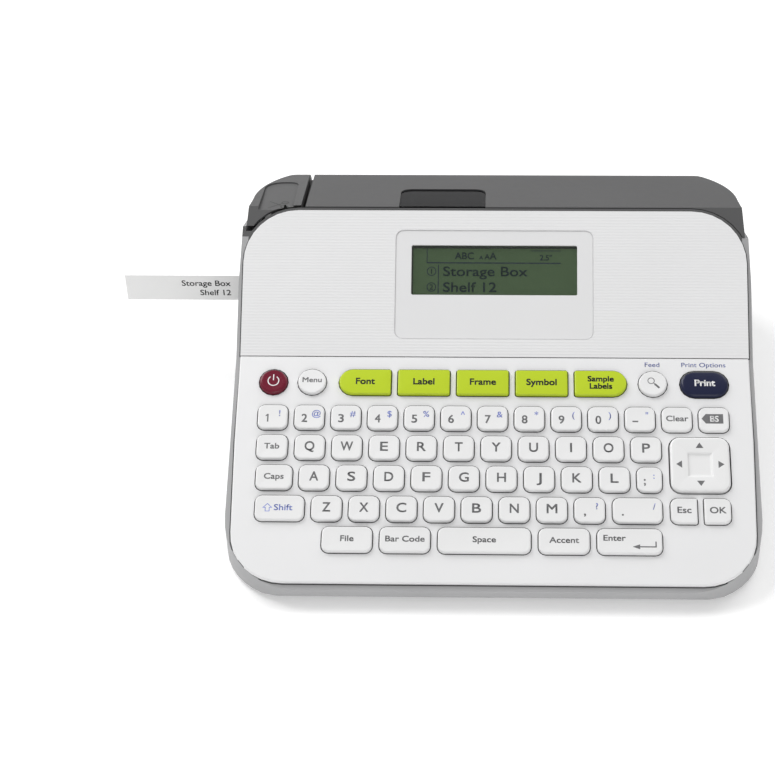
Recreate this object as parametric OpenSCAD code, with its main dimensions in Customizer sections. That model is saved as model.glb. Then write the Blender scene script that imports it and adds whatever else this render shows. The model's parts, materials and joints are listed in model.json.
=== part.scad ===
// Desktop label maker: a low wedge-shaped case with a sloping keyboard, a steeper display
// panel, a hinged tape cover along the rear and a cutter lever at the rear left corner.
// Millimetres. +Z up, +X to the user's right, +Y away from the user.
// The origin is on the table, under the middle of the case.

/* [Case] */
// Width of the case
case_w = 188; // [184:1:192]
// Depth of the case
case_d = 178; // [176:1:180]
// Thickness of the case walls
wall = 2.4; // [2:0.1:2.6]
// Plan radius of the front corners
front_r = 26; // [22:1:30]
// Plan radius of the rear corners
rear_r = 20; // [18:1:22]
// Height of the rubber feet below the case
foot_h = 2; // [1.5:0.1:2.5]

/* [Top surfaces] */
// Slope of the keyboard, in degrees
deck_slope = 20; // [19:0.5:21]
// Length of the keyboard up its slope
deck_len = 88.9; // [87:0.1:90]
// Slope of the display panel, in degrees
display_slope = 36; // [35:0.5:37]
// Length of the display panel up its slope
display_len = 55.5; // [55:0.1:56]
// Slope of the tape cover, falling to the rear, in degrees
cover_slope = 20; // [19:0.5:21]
// Half width of the white panels
panel_half_w = 92.4; // [92:0.1:92.6]
// How far the white panels stand above the grey case
panel_step = 1.2; // [1:0.1:1.4]
// Corner radius of the display panel
display_r = 20; // [18:1:22]

/* [Keys] */
// Height of a key top above the keyboard
key_rise = 1.3; // [1:0.1:1.8]
// Travel of a key
key_travel = 1.2; // [0.8:0.1:1.2]
// Corner radius of a key
key_r = 2.6; // [2:0.1:3]
// Gap between a key and its hole
key_gap = 0.3; // [0.2:0.05:0.35]
// Depth of a key, down the slope
key_d = 9.9; // [9.4:0.1:10]
// Width of a letter key
key_w = 10.8; // [10.4:0.1:11]

/* [Tape cover and cutter] */
// Right edge of the cutter lever, from the middle of the case
lever_edge_x = -71.9; // [-72.2:0.1:-71.9]
// Left edge of the tape cover
cover_edge_x = -70.1; // [-70.1:0.1:-69.8]
// Depth of the tape cover's side
cover_side = 9.6; // [9:0.1:10]
// Thickness of the tape cover
cover_t = 2.2; // [2:0.1:2.4]
// Width of the window in the tape cover
window_w = 32; // [28:1:34]

/* [Tape] */
// Width of the label tape
tape_w = 12; // [9:1:12]
// Length of printed label standing out of the case
label_out = 48; // [20:1:50]

/* [Batteries] */
// Diameter of a battery cell
cell_d = 14.5; // [14:0.1:14.5]
// Length of a battery cell
cell_l = 50.5; // [49:0.1:50.5]

/* [Hidden] */
$fn = 40;
big = 400;

// Case planes
half_w = case_w / 2;
half_d = case_d / 2;
floor_z = foot_h + 2.2;
deck_y = 1.7 - half_d;
deck_z = foot_h + 6.8;
split_y = deck_y + deck_len * cos(deck_slope);
split_z = deck_z + deck_len * sin(deck_slope);
ridge_y = split_y + display_len * cos(display_slope);
ridge_z = split_z + display_len * sin(display_slope);
cover_y = ridge_y + 2.06;
cover_z = ridge_z + 0.17;
turn_r = 12;
hinge_r = 2.4;
hinge_y = half_d - hinge_r;
turn_y = half_d - turn_r;
hinge_z = cover_height(turn_y + turn_r * sin(cover_slope)) - turn_r * cos(cover_slope);
trough_z = hinge_z - hinge_r - 0.4;
rim_w = 1.3;
clear = 0.3;
cover_step = 1.3;
rear_half_w = 91.8;
lever_side = 6.3;

// Colours
white = [0.92, 0.92, 0.91];
case_grey = [0.66, 0.66, 0.67];
cover_grey = [0.44, 0.44, 0.44];
lever_grey = [0.5, 0.5, 0.5];
dark = [0.12, 0.12, 0.13];
lime = [0.72, 0.84, 0.18];
maroon = [0.42, 0.09, 0.19];
navy = [0.1, 0.12, 0.25];
steel = [0.75, 0.76, 0.78];
brass = [0.8, 0.66, 0.3];
board_green = [0.08, 0.36, 0.2];
rubber = [0.08, 0.08, 0.08];
ivory = [0.87, 0.86, 0.8];

// Heights of the tape cover's surface, of the display panel and of the cover's lower edge
function cover_height(y) = cover_z - (y - cover_y) * tan(cover_slope);
function display_height(y, n) = ridge_z + (y - ridge_y) * tan(display_slope) + n / cos(display_slope);
function parting_height(y) = cover_height(y) - cover_side / cos(cover_slope);
// Where a display-parallel plane n away meets a cover-parallel plane d below the cover
function meet_y(n, d) =
    (cover_z + cover_y * tan(cover_slope) - d / cos(cover_slope)
        - ridge_z + ridge_y * tan(display_slope) - n / cos(display_slope))
    / (tan(display_slope) + tan(cover_slope));

// Outlines
function arc(c, r, from, to, steps) =
    [for (i = [0:steps]) c + r * [cos(from + (to - from) * i / steps), sin(from + (to - from) * i / steps)]];
// Rounded box from corner a to corner b, with its front and rear corner radii
function rounded(a, b, front, rear, steps = 4) = concat(
    arc([b.x - front, a.y + front], front, -90, 0, steps),
    arc([b.x - rear, b.y - rear], rear, 0, 90, steps),
    arc([a.x + rear, b.y - rear], rear, 90, 180, steps),
    arc([a.x + front, a.y + front], front, 180, 270, steps));
function centred(w, d, r, steps = 3) = rounded([-w / 2, -d / 2], [w / 2, d / 2], r, r, steps);
// Right side of the case, which narrows towards the rear, and its rear corner; the cover and the
// lever stand cover_step inside the sides and flush with the rear
waist = [[half_w, 20], [half_w - 0.4, 28], [half_w - 0.8, 36], [half_w - 1.8, 46], [rear_half_w, 52.5]];
function right_side(r, inset, rear) = concat(
    [for (p = waist) [p.x - inset, p.y]],
    arc([rear_half_w - inset - r, half_d - rear - r], r, 0, 90, 10));
function left_side(right) = [for (i = [len(right) - 1:-1:0]) [-right[i].x, right[i].y]];
function footprint(inset) = concat(
    arc([half_w - front_r, front_r - half_d], front_r - inset, -90, 0, 10),
    right_side(rear_r - inset, inset, inset), left_side(right_side(rear_r - inset, inset, inset)),
    arc([front_r - half_w, front_r - half_d], front_r - inset, 180, 270, 10));
function cover_side_points(inset) = concat([[half_w - cover_step - inset, 0]],
    right_side(rear_r - 1 - inset, cover_step + inset, inset));
function cover_plan(inset) = concat(cover_side_points(inset), left_side(cover_side_points(inset)));
function display_outline(grow, up = 0) = rounded([-panel_half_w - grow, 0.15],
    [panel_half_w + grow, display_len + grow + up], 0.05, display_r + grow, 8);
function deck_outline(inset) = concat(
    arc([panel_half_w - 0.8 - 19, 19], 19 - inset, -90, 0, 8),
    [[panel_half_w - inset, 55], [panel_half_w - inset, deck_len - 0.15]],
    [[inset - panel_half_w, deck_len - 0.15], [inset - panel_half_w, 55]],
    arc([19 + 0.8 - panel_half_w, 19], 19 - inset, 180, 270, 8));

module slab(points, low, high) {
    translate([0, 0, low]) linear_extrude(high - low) polygon(points);
}

// A side profile of [y, z] points, extruded from x0 to x1
module across(points, x0, x1) {
    translate([x0, 0, 0]) rotate([90, 0, 90]) linear_extrude(x1 - x0) polygon(points);
}

module block(low, high) {
    translate(low) cube(high - low);
}

// A round bar along X
module bar(x0, x1, y, z, r) {
    translate([x0, y, z]) rotate([0, 90, 0]) cylinder(h = x1 - x0, r = r);
}

module post(x, y, z0, z1, r) {
    translate([x, y, z0]) cylinder(h = z1 - z0, r = r);
}

module on_deck() {
    translate([0, deck_y, deck_z]) rotate([deck_slope, 0, 0]) children();
}

module on_display() {
    translate([0, split_y, split_z]) rotate([display_slope, 0, 0]) children();
}

module on_cover() {
    translate([0, cover_y, cover_z]) rotate([-cover_slope, 0, 0]) children();
}

// ---------------------------------------------------------------- case

screw_x = half_w - 5.6;
screw_ys = [-48, 8];
screw_r = 1.35;
jack_x = 8;
jack_z = floor_z + 5.4;
socket_r = 2.8;
cell_pitch = cell_d + 0.7;
cell_x0 = 30;
cell_z0 = floor_z + 8.45;
cell_y0 = 33;
box_t = 1.2;
hatch_x = [22, 68.4];
hatch_z = [floor_z + 1, floor_z + 31.4];
exit_y = [44, 49];
tape_z0 = 24.1;
slot_z = [tape_z0 - 1.6, tape_z0 + 14];
lever_pivot = [79, 53.6];
blade_pivot = [56, 14];
ear_x = [74, 75.6];

// Outer side profile of the grey case, n below the white panels
function case_profile(n) = [
    [2.8 - half_d, foot_h], [0.8 - half_d, foot_h + 0.8], [-half_d, foot_h + 2.4],
    [-half_d, deck_z - (half_d + deck_y) * tan(deck_slope) - n / cos(deck_slope)],
    [split_y + n * 0.474, split_z - n * 0.892],
    [meet_y(-n, cover_side + 0.15), parting_height(meet_y(-n, cover_side + 0.15)) - 0.15],
    [83.6, parting_height(83.6) - 0.15],
    [half_d, parting_height(half_d) - 0.15],
    [half_d, foot_h + 1.6], [half_d - 1.6, foot_h]];

// Room for the lever's side to swing down and forward, outside the recessed wall
room_y = meet_y(-panel_step, lever_side) - 1.6;
function lever_room() = [
    [room_y, 80], [room_y, parting_height(34) - 7.4],
    [half_d + 1, trough_z - 0.8], [half_d + 1, 80]];

// The skin's side profile, lower where the lever's side curves in over it
skin_t = 1.1;
function skin_point(y, gap) = [y, cover_height(y) - (lever_side + gap) / cos(cover_slope)];
function skin_profile() = [
    [18, 42], [18, display_height(18, -panel_step)],
    skin_point(meet_y(-panel_step, lever_side + 0.15), 0.15),
    skin_point(64, 0.15), skin_point(65, 0.95), skin_point(83.6, 0.95), [83.6, 42]];

// Everything beside the display panel's outline
module on_display_side() {
    on_display() difference() {
        translate([-big / 2, -big / 2, -20]) cube([big, big, 30]);
        slab(display_outline(-1.2), -21, 11);
    }
}

module base_case() {
    color(case_grey) difference() {
        union() {
            intersection() {
                difference() {
                    slab(footprint(0), 0, 90);
                    slab(footprint(wall), floor_z, 91);
                }
                across(case_profile(panel_step), -half_w - 1, half_w + 1);
            }
            // Wall under the rounded top edge of the display panel, shallow where the lever's
            // front edge swings under it
            intersection() {
                on_display() difference() {
                    slab(display_outline(rim_w), -6, -panel_step);
                    slab(display_outline(-1.2), -7, 0);
                    translate([-big / 2, -10, -20]) cube([big, 40, 40]);
                    translate([-big / 2, 0, -20]) cube([big / 2 + lever_edge_x + 0.5, big, 20 - panel_step - 0.8]);
                }
                slab(footprint(0), 0, 90);
            }
            // Shoulder in front of the lever, beside the panel's rounded corner
            intersection() {
                on_display() slab(display_outline(rim_w + 12), -4.5, -panel_step);
                on_display_side();
                slab(footprint(0), 0, 90);
                block([-half_w, 20, 0], [lever_edge_x, room_y, 90]);
            }
            // Skin outside the lever's side, up to its lower edge
            intersection() {
                difference() {
                    slab(footprint(0), 40, 90);
                    slab(footprint(skin_t), 39, 91);
                }
                across(skin_profile(), -half_w - 1, 1 - half_w + rear_r);
            }
            // Inner wall behind the lever
            intersection() {
                difference() {
                    slab(footprint(3.4), 0, 90);
                    slab(footprint(5.2), -1, 91);
                }
                block([-half_w, 34, floor_z - 0.1], [-half_w + 12, 74, 62]);
                across([[30, 0], [30, parting_height(36) - 3.2], [73.5, parting_height(73.5) - 3.2], [73.5, 0]],
                    -half_w, 0);
            }
            for (side = [-1, 1], y = screw_ys) post(side * screw_x, y, floor_z - 0.1, screw_top(y), 2.9);
            // Lever bearing post, blade bracket with its pin, and the idler's pin
            block([-78.7, lever_pivot[0] - 3.4, floor_z - 0.1],
                [-77.5, lever_pivot[0] + 1.5, lever_pivot[1] + 1.4]);
            block([-86.6, 53, floor_z - 0.1], [-82.8, 59, 17]);
            bar(-83, -80, blade_pivot[0], blade_pivot[1], 1.2);
            post(spring_at.x, spring_at.y, floor_z - 0.1, spring_z[0], 3.2);
            post(spring_at.x, spring_at.y, floor_z - 0.1, spring_z[0] + 5, 2);
            post(idler_at.x, idler_at.y, floor_z - 0.1, gear_z + 5, 1.2);
            post(idler_at.x, idler_at.y, floor_z - 0.1, gear_z - 0.2, 2.4);
            intersection() {
                bar(ear_x[0], ear_x[1], hinge_y, hinge_z, 2.2);
                slab(footprint(0.2), 0, 90);
            }
            block([ear_x[0], 84, 40], [ear_x[1], 88, hinge_z - 1]);
        }
        // Trough for the cover's hinge and the lever's rear edge
        block([-half_w - 1, half_d - 5.2, trough_z], [ear_x[0], half_d + 1, 90]);
        block([ear_x[1], half_d - 5.2, trough_z], [85.5, half_d + 1, 90]);
        bar(ear_x[0] - 1, ear_x[1] + 1, hinge_y, hinge_z, 1.25);
        intersection() {
            across(lever_room(), -half_w - 1, -half_w + 8);
            difference() {
                translate([0, 0, -1]) slab(footprint(skin_t), 0, 92);
                slab(footprint(3.4), 0, 92);
            }
        }
        bar(-81, -77, lever_pivot[0], lever_pivot[1], 1.25);
        for (side = [-1, 1], y = screw_ys) {
            post(side * screw_x, y, -1, foot_h + 2, 2.5);
            post(side * screw_x, y, -1, 90, 1.4);
        }
        // Label exit, power socket and battery hatch
        block([-half_w - 1, exit_y[0], slot_z[0]], [-half_w + wall + 6, exit_y[1], slot_z[1]]);
        translate([jack_x, half_d - wall - 1, jack_z]) rotate([-90, 0, 0]) cylinder(h = wall + 2, r = 4.2);
        block([hatch_x[0], half_d - wall - 1, hatch_z[0]], [hatch_x[1], half_d + 1, hatch_z[1]]);
        for (at = foot_at) post(at.x, at.y, 0, foot_h + 0.6, foot_r + 0.05);
    }
}

foot_r = 5;
foot_at = [[-74, -70], [74, -70], [-76, 72], [76, 72]];

module rubber_feet() {
    color(rubber) for (at = foot_at) post(at.x, at.y, 0, foot_h + 0.6, foot_r);
}

function screw_top(y) = (y < split_y ? deck_z + (y - 2.9 - deck_y) * tan(deck_slope)
    : display_height(y - 2.9, 0)) - 5.4;

module case_screws() {
    color(steel) for (side = [-1, 1], y = screw_ys) {
        post(side * screw_x, y, foot_h + 0.3, foot_h + 1.95, 2.4);
        post(side * screw_x, y, foot_h + 1.9, screw_top(y) + 2.4, screw_r);
    }
}

// Boss on the underside of a panel, for the screw that comes up from below
module panel_boss(y) {
    for (side = [-1, 1]) post(side * screw_x, y, screw_top(y) + 0.1, screw_top(y) + 3.6, 2.4);
}

module panel_boss_holes(y) {
    for (side = [-1, 1]) post(side * screw_x, y, screw_top(y), screw_top(y) + 2.8, 1.4);
}

// ---------------------------------------------------------------- keyboard

// Each key is [x, s, width, depth, left corner radius, right corner radius]; s is measured up
// the keyboard from its front
fn_s = 78.1;
round_d = 10.3;
row_s = [63.65, 51.7, 39.8, 27.85, 16.05];
power_keys = disc(-79.6);
menu_keys = disc(-65.6);
green_x = -46.4;
green_pitch = 21.24;
green_w = 18.8;
green_d = 10.3;
green_end_r = 5.1;
square_r = 0.8;
preview_keys = disc(57.3);
print_keys = [[75.8, fn_s, 17.4, 10.8, 5.3, 5.3]];
number_x = -79.1;
number_pitch = 13.14;
dpad_at = [73, 45.75];
dpad_size = [21.4, 21.9];

function disc(x) = [[x, fn_s, round_d, round_d, round_d / 2, round_d / 2]];
// The lime keys form a band with round outer ends
function green(i) = [[green_x + i * green_pitch, fn_s, green_w, green_d,
    i == 0 ? green_end_r : square_r, i == 4 ? green_end_r : square_r]];
function wide(row, x, w, left = key_r, right = key_r) = [[x, row_s[row], w, key_d, left, right]];
function run(row, x, pitch, count) = [for (i = [0:count - 1]) each wide(row, x + i * pitch, key_w)];

number_row = run(0, number_x, number_pitch, 11);
clear_keys = wide(0, number_x + 11 * number_pitch, key_w);
backspace_keys = wide(0, number_x + 12 * number_pitch, key_w);
tab_keys = wide(1, -78.75, 11.1);
qwerty_row = run(1, -65.3, 13.27, 10);
caps_keys = wide(2, -77.4, 13);
asdf_row = concat(run(2, -63.2, 13.24, 9), wide(2, 55, 8.9));
shift_keys = wide(3, -74.8, 17.4);
zxcv_row = concat(run(3, -58.3, 13.16, 8), wide(3, 50.5, 17.4));
file_keys = wide(4, -50.7, 17.7);
barcode_keys = wide(4, -30.5, 17.7);
space_keys = wide(4, -2.9, 32.4);
accent_keys = wide(4, 24.8, 17.8);
enter_keys = wide(4, 47.5, 22.6);
esc_keys = wide(3, 66.7, 9.4, key_r, square_r);
ok_keys = wide(3, 78.4, 9.4, square_r, key_r);
dpad_keys = [[dpad_at.x, dpad_at.y, dpad_size.x, dpad_size.y, 4, 4]];

all_keys = concat(power_keys, menu_keys, green(0), green(1), green(2), green(3), green(4),
    preview_keys, print_keys, number_row, clear_keys, backspace_keys, tab_keys, qwerty_row,
    caps_keys, asdf_row, shift_keys, zxcv_row, file_keys, barcode_keys, space_keys,
    accent_keys, enter_keys, esc_keys, ok_keys, dpad_keys);

skirt_n = -2.6;
flange_n = skirt_n - 0.2;
flange_t = 0.8;
mat_n = -5.8;
stem_n = mat_n + key_travel + 0.2;
board_n = -6.8;

function keycap(w, d, left, right) = concat(
    arc([w / 2 - right, right - d / 2], right, -90, 0, 4),
    arc([w / 2 - right, d / 2 - right], right, 0, 90, 4),
    arc([left - w / 2, d / 2 - left], left, 90, 180, 4),
    arc([left - w / 2, left - d / 2], left, 180, 270, 4));

module key_outline(key, grow) {
    translate([key[0], key[1]])
        polygon(keycap(key[2] + 2 * grow, key[3] + 2 * grow, key[4] + grow, key[5] + grow));
}

// Key caps, each with a flange that holds it under the keyboard and a plunger for the mat
module caps(keys) {
    on_deck() for (key = keys) {
        translate([0, 0, flange_n - 0.1]) linear_extrude(key_rise - flange_n + 0.1) key_outline(key, 0);
        translate([0, 0, flange_n - flange_t]) linear_extrude(flange_t) key_outline(key, 0.65);
        translate([key[0], key[1], stem_n]) cylinder(h = 1.2, r = 1.7);
    }
}

module keyboard_deck() {
    color(white) difference() {
        union() {
            on_deck() slab(deck_outline(0), -panel_step + 0.04, 0);
            intersection() {
                on_deck() slab(deck_outline(wall - 1), skirt_n, -panel_step + 0.08);
                slab(footprint(wall + 0.1), 0, 90);
            }
            panel_boss(screw_ys[0]);
        }
        on_deck() for (key = all_keys)
            translate([0, 0, -5]) linear_extrude(10) key_outline(key, key_gap);
        panel_boss_holes(screw_ys[0]);
    }
}

module keypad_mat() {
    color([0.8, 0.8, 0.78]) on_deck() slab(rounded([-84.5, 11], [84.5, 83.6], 2, 2, 3), mat_n - 0.8, mat_n);
}

module keyboard_board() {
    color(board_green) on_deck() slab(rounded([-85.4, 9.4], [85.4, 84.2], 1, 1, 3), board_n - 1.1, board_n);
}

module key_power() { color(maroon) caps(power_keys); }
module key_menu() { color(white) caps(menu_keys); }
module key_font() { color(lime) caps(green(0)); }
module key_label() { color(lime) caps(green(1)); }
module key_frame() { color(lime) caps(green(2)); }
module key_symbol() { color(lime) caps(green(3)); }
module key_sample() { color(lime) caps(green(4)); }
module key_preview() { color(white) caps(preview_keys); }
module key_print() { color(navy) caps(print_keys); }
module keys_number_row() { color(white) caps(number_row); }
module key_clear() { color(white) caps(clear_keys); }
module key_backspace() { color(white) caps(backspace_keys); }
module key_tab() { color(white) caps(tab_keys); }
module keys_qwerty_row() { color(white) caps(qwerty_row); }
module key_caps() { color(white) caps(caps_keys); }
module keys_asdf_row() { color(white) caps(asdf_row); }
module key_shift() { color(white) caps(shift_keys); }
module keys_zxcv_row() { color(white) caps(zxcv_row); }
module key_file() { color(white) caps(file_keys); }
module key_barcode() { color(white) caps(barcode_keys); }
module key_space() { color(white) caps(space_keys); }
module key_accent() { color(white) caps(accent_keys); }
module key_enter() { color(white) caps(enter_keys); }
module key_esc() { color(white) caps(esc_keys); }
module key_ok() { color(white) caps(ok_keys); }

dpad_n = -4.7;

// The direction pad tips every way on a small cross of pins under its hollow middle
module dpad() {
    color(white) on_deck() difference() {
        union() {
            translate([0, 0, flange_n - 1.4]) linear_extrude(key_rise - flange_n + 1.4)
                key_outline(dpad_keys[0], -0.1);
            translate([0, 0, flange_n - 1.4]) linear_extrude(flange_t)
                key_outline(dpad_keys[0], 0.6);
        }
        translate([0, 0, flange_n - 2]) linear_extrude(1.9) key_outline(dpad_keys[0], -2);
        translate([dpad_at.x, dpad_at.y, key_rise - 0.6]) linear_extrude(2) polygon(centred(9.2, 9.6, 0.8));
    }
}

module dpad_cross() {
    color(ivory) on_deck() translate([dpad_at.x, dpad_at.y, dpad_n]) {
        translate([-4, 0, 0]) rotate([0, 90, 0]) cylinder(h = 8, r = 0.75);
        translate([0, 4, 0]) rotate([90, 0, 0]) cylinder(h = 8, r = 0.75);
    }
}

// ---------------------------------------------------------------- display

bezel_s = [6.7, 48.1];
bezel_half_w = 36.4;
lcd_s = [23.5, 42.3];
lcd_half_w = 30.4;

module display_cover() {
    color(white) difference() {
        union() {
            on_display() slab(display_outline(0), -panel_step + 0.04, 0);
            on_display() intersection() {
                slab(display_outline(-1.5), skirt_n, -panel_step + 0.08);
                translate([-big / 2, 1.2, -5]) cube([big, big, 10]);
            }
            panel_boss(screw_ys[1]);
        }
        on_display() {
            slab(rounded([-bezel_half_w, bezel_s[0]], [bezel_half_w, bezel_s[1]], 3, 3), -1.3, 1);
            slab(rounded([-34, 9], [34, 45.8], 1, 1), -5, 1);
        }
        panel_boss_holes(screw_ys[1]);
    }
}

module display_bezel() {
    color(white) on_display() difference() {
        slab(rounded([-bezel_half_w + 0.2, bezel_s[0] + 0.2], [bezel_half_w - 0.2, bezel_s[1] - 0.2], 2.8, 2.8),
            -1.28, -0.25);
        slab(rounded([-lcd_half_w, lcd_s[0]], [lcd_half_w, lcd_s[1]], 0.6, 0.6), -5, 1);
    }
}

module display_window() {
    color([0.75, 0.8, 0.7, 0.4]) on_display()
        slab(rounded([-lcd_half_w + 0.05, lcd_s[0] + 0.05], [lcd_half_w - 0.05, lcd_s[1] - 0.05], 0.55, 0.55),
            -1.25, -0.45);
}

module lcd_panel() {
    color([0.31, 0.41, 0.29]) on_display() {
        slab(rounded([-33, 20.5], [33, 45.2], 0.5, 0.5), -4, -1.4);
        slab(rounded([-38, 8], [38, 47], 0.5, 0.5), -5.7, -3.9);
        for (x = [-31, 31], s = [10.6, 18.4]) translate([x, s, -4.1]) cylinder(h = 2.8, r = 1.6);
    }
}

// ---------------------------------------------------------------- tape bay

bay_front = ridge_y + 2.1;
bay_rear = 83.8;
bay_floor = 19.5;
bay_right = 15.2;
bay_t = 1.4;
shelf_z = 39.4;
bay_left = [-71.6, -70.4];
roller_at = [-50, 51.65];
roller_r = 4.9;
tape_y = 46.45;
tape_t = 0.2;
gear_module = 0.6;
gear_t = 4;
gear_z = 7.2;
pinion_teeth = 10;
idler_teeth = 21;
roller_teeth = 20;
ribbon_teeth = 20;
mesh_gap = 0.06;
function pitch_r(teeth) = gear_module * teeth / 2;
idler_at = [roller_at.x, roller_at.y - pitch_r(roller_teeth) - pitch_r(idler_teeth) - mesh_gap];
motor_at = [roller_at.x, idler_at.y - pitch_r(idler_teeth) - pitch_r(pinion_teeth) - mesh_gap];
ribbon_angle = 40;
ribbon_at = roller_at
    + (pitch_r(roller_teeth) + pitch_r(ribbon_teeth) + mesh_gap) * [cos(ribbon_angle), sin(ribbon_angle)];

module bay_tray() {
    color(dark) difference() {
        intersection() {
            slab(footprint(wall + 0.2), 0, 90);
            union() {
                block([bay_left[0], bay_front, bay_floor - bay_t], [bay_right, bay_rear, bay_floor]);
                block([bay_left[0], bay_front, bay_floor - bay_t], [bay_right, bay_front + bay_t, shelf_z]);
                block([bay_left[0], bay_front, shelf_z - bay_t], [half_w - 5.8, bay_front + bay_t, 65.6]);
                block([bay_left[0], bay_rear - bay_t, bay_floor - bay_t],
                    [bay_right, bay_rear, trough_z - 0.4]);
                block([bay_right - bay_t, bay_front, bay_floor - bay_t], [bay_right, bay_rear, shelf_z]);
                block([bay_right - bay_t, bay_front, shelf_z - bay_t], [half_w, half_d - 2.8, shelf_z]);
                across([[bay_front, bay_floor - bay_t], [bay_front, 65.6], [47, 65.6], [bay_rear, 54.2],
                    [bay_rear, bay_floor - bay_t]], bay_left[0], bay_left[1]);
            }
        }
        block([bay_left[0] - 1, 45, slot_z[0]], [bay_left[1] + 1, 49, slot_z[1]]);
        bar(bay_left[0] - 1, bay_left[1] + 1, lever_pivot[0], lever_pivot[1], 1.25);
        post(roller_at.x, roller_at.y, 0, bay_floor + 1, 1.55);
        post(ribbon_at.x, ribbon_at.y, 0, bay_floor + 1, 1.55);
        bar(bay_left[0] - 1, bay_left[1] + 1, hinge_y, hinge_z, 1.25);
    }
    // Ear for the tape cover's left hinge pin
    color(dark) difference() {
        union() {
            bar(bay_left[0], bay_left[1], hinge_y, hinge_z, 2.1);
            across([[bay_rear - 3, trough_z + 1], [bay_rear - 3, 52], [hinge_y, hinge_z + 2],
                [hinge_y, trough_z + 1]], bay_left[0], bay_left[1]);
        }
        bar(bay_left[0] - 1, bay_left[1] + 1, hinge_y, hinge_z, 1.25);
    }
}

module print_head() {
    color(steel) {
        block([roller_at.x - 6, bay_front + bay_t + 0.05, bay_floor + 0.05],
            [roller_at.x + 6, tape_y - 0.75, tape_z0 + 15]);
        block([roller_at.x - 2.4, tape_y - 1, tape_z0 - 1], [roller_at.x + 2.4, tape_y - 0.1, tape_z0 + 13]);
    }
}

cassette_x = [-61, 8];
cassette_y = [48.6, 81.6];
cassette_z = [bay_floor + 0.4, bay_floor + 20.4];
cassette_t = 1.3;
spool_at = [-14, 65.2];
spool_r = 14;

module cassette_outline(inset) {
    difference() {
        polygon(rounded([cassette_x[0] + inset, cassette_y[0] + inset],
            [cassette_x[1] - inset, cassette_y[1] - inset], 2.5, 3.5, 4));
        translate([roller_at.x - 6.4 - inset, 0]) square([12.8 + 2 * inset, 58 + inset]);
    }
}

// Lower half of the cassette, with the hub that the tape spool turns on
module tape_cassette() {
    color([0.2, 0.2, 0.21]) difference() {
        union() {
            difference() {
                translate([0, 0, cassette_z[0]]) linear_extrude(18.4) cassette_outline(0);
                translate([0, 0, cassette_z[0] + cassette_t]) linear_extrude(20) cassette_outline(cassette_t);
            }
            post(spool_at.x, spool_at.y, cassette_z[0], cassette_z[0] + 17, 3);
            post(ribbon_at.x, ribbon_at.y, cassette_z[0], cassette_z[0] + 17, 5);
        }
        post(ribbon_at.x, ribbon_at.y, 0, 90, 3.8);
    }
}

module cassette_cover() {
    color([0.24, 0.24, 0.25]) difference() {
        translate([0, 0, cassette_z[0] + 18.45]) linear_extrude(1.5) cassette_outline(0);
        post(ribbon_at.x, ribbon_at.y, 0, 90, 3.8);
    }
}

module tape_spool() {
    color(white) difference() {
        post(spool_at.x, spool_at.y, cassette_z[0] + 2.2, cassette_z[0] + 2.2 + tape_w + 2, spool_r);
        post(spool_at.x, spool_at.y, 0, 90, 3.06);
    }
}

blade_x = [-82.4, -81.6];

// The tape with its two cuts, which stand where the blade passes before and after a full feed;
// the printed label is beyond the first
feed = 20.5;
cuts = [-half_w - label_out, blade_x[0] - 0.4, blade_x[1] + 0.4, blade_x[0] - 0.4 + feed,
    blade_x[1] + 0.4 + feed, roller_at.x + 8];

module label_tape() {
    color([0.95, 0.95, 0.94]) for (i = [0, 2, 4])
        block([cuts[i], tape_y, tape_z0], [cuts[i + 1], tape_y + tape_t, tape_z0 + tape_w]);
}

// ---------------------------------------------------------------- feed gears

tooth_shape = [[-0.3, -1.25], [-0.22, 0], [-0.12, 0.85], [0.12, 0.85], [0.22, 0], [0.3, -1.25]];
function gear_points(teeth, phase) = [for (i = [0:teeth - 1], p = tooth_shape)
    (pitch_r(teeth) + p.y * gear_module)
        * [cos(phase + (i + p.x) * 360 / teeth), sin(phase + (i + p.x) * 360 / teeth)]];
// Phase that puts gear b in mesh with gear a, along the line from a to b
function meshed(line, phase, n_a, n_b) = line + 180 + 180 / n_b + (line - phase) * n_a / n_b;

pinion_phase = 90;
idler_phase = meshed(90, pinion_phase, pinion_teeth, idler_teeth);
roller_phase = meshed(90, idler_phase, idler_teeth, roller_teeth);
ribbon_phase = meshed(ribbon_angle, roller_phase, roller_teeth, ribbon_teeth);

module gear(at, teeth, phase) {
    translate([at.x, at.y, gear_z]) linear_extrude(gear_t) polygon(gear_points(teeth, phase));
}

module platen_roller() {
    color([0.16, 0.16, 0.17]) {
        post(roller_at.x, roller_at.y, bay_floor + 1.2, tape_z0 + 14.4, roller_r);
        post(roller_at.x, roller_at.y, gear_z + 1, bay_floor + 2, 1.5);
        gear(roller_at, roller_teeth, roller_phase);
    }
}

module idler_gear() {
    color(ivory) difference() {
        gear(idler_at, idler_teeth, idler_phase);
        post(idler_at.x, idler_at.y, 0, 30, 1.26);
    }
}

motor_z = [13, 36];

module motor_pinion() {
    color(brass) {
        gear(motor_at, pinion_teeth, pinion_phase);
        post(motor_at.x, motor_at.y, gear_z + 1, motor_z[0] + 8, 0.9);
    }
}

module feed_motor() {
    color(steel) difference() {
        union() {
            post(motor_at.x, motor_at.y, motor_z[0], motor_z[1], 10);
            block([motor_at.x - 16, motor_at.y - 5, motor_z[0] - 1.2],
                [motor_at.x + 16, motor_at.y + 5, motor_z[0] + 0.2]);
            for (dx = [-13.5, 13.5]) post(motor_at.x + dx, motor_at.y, floor_z, motor_z[0] - 1.1, 2);
        }
        post(motor_at.x, motor_at.y, 0, motor_z[0] + 9, 0.96);
    }
}

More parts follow.
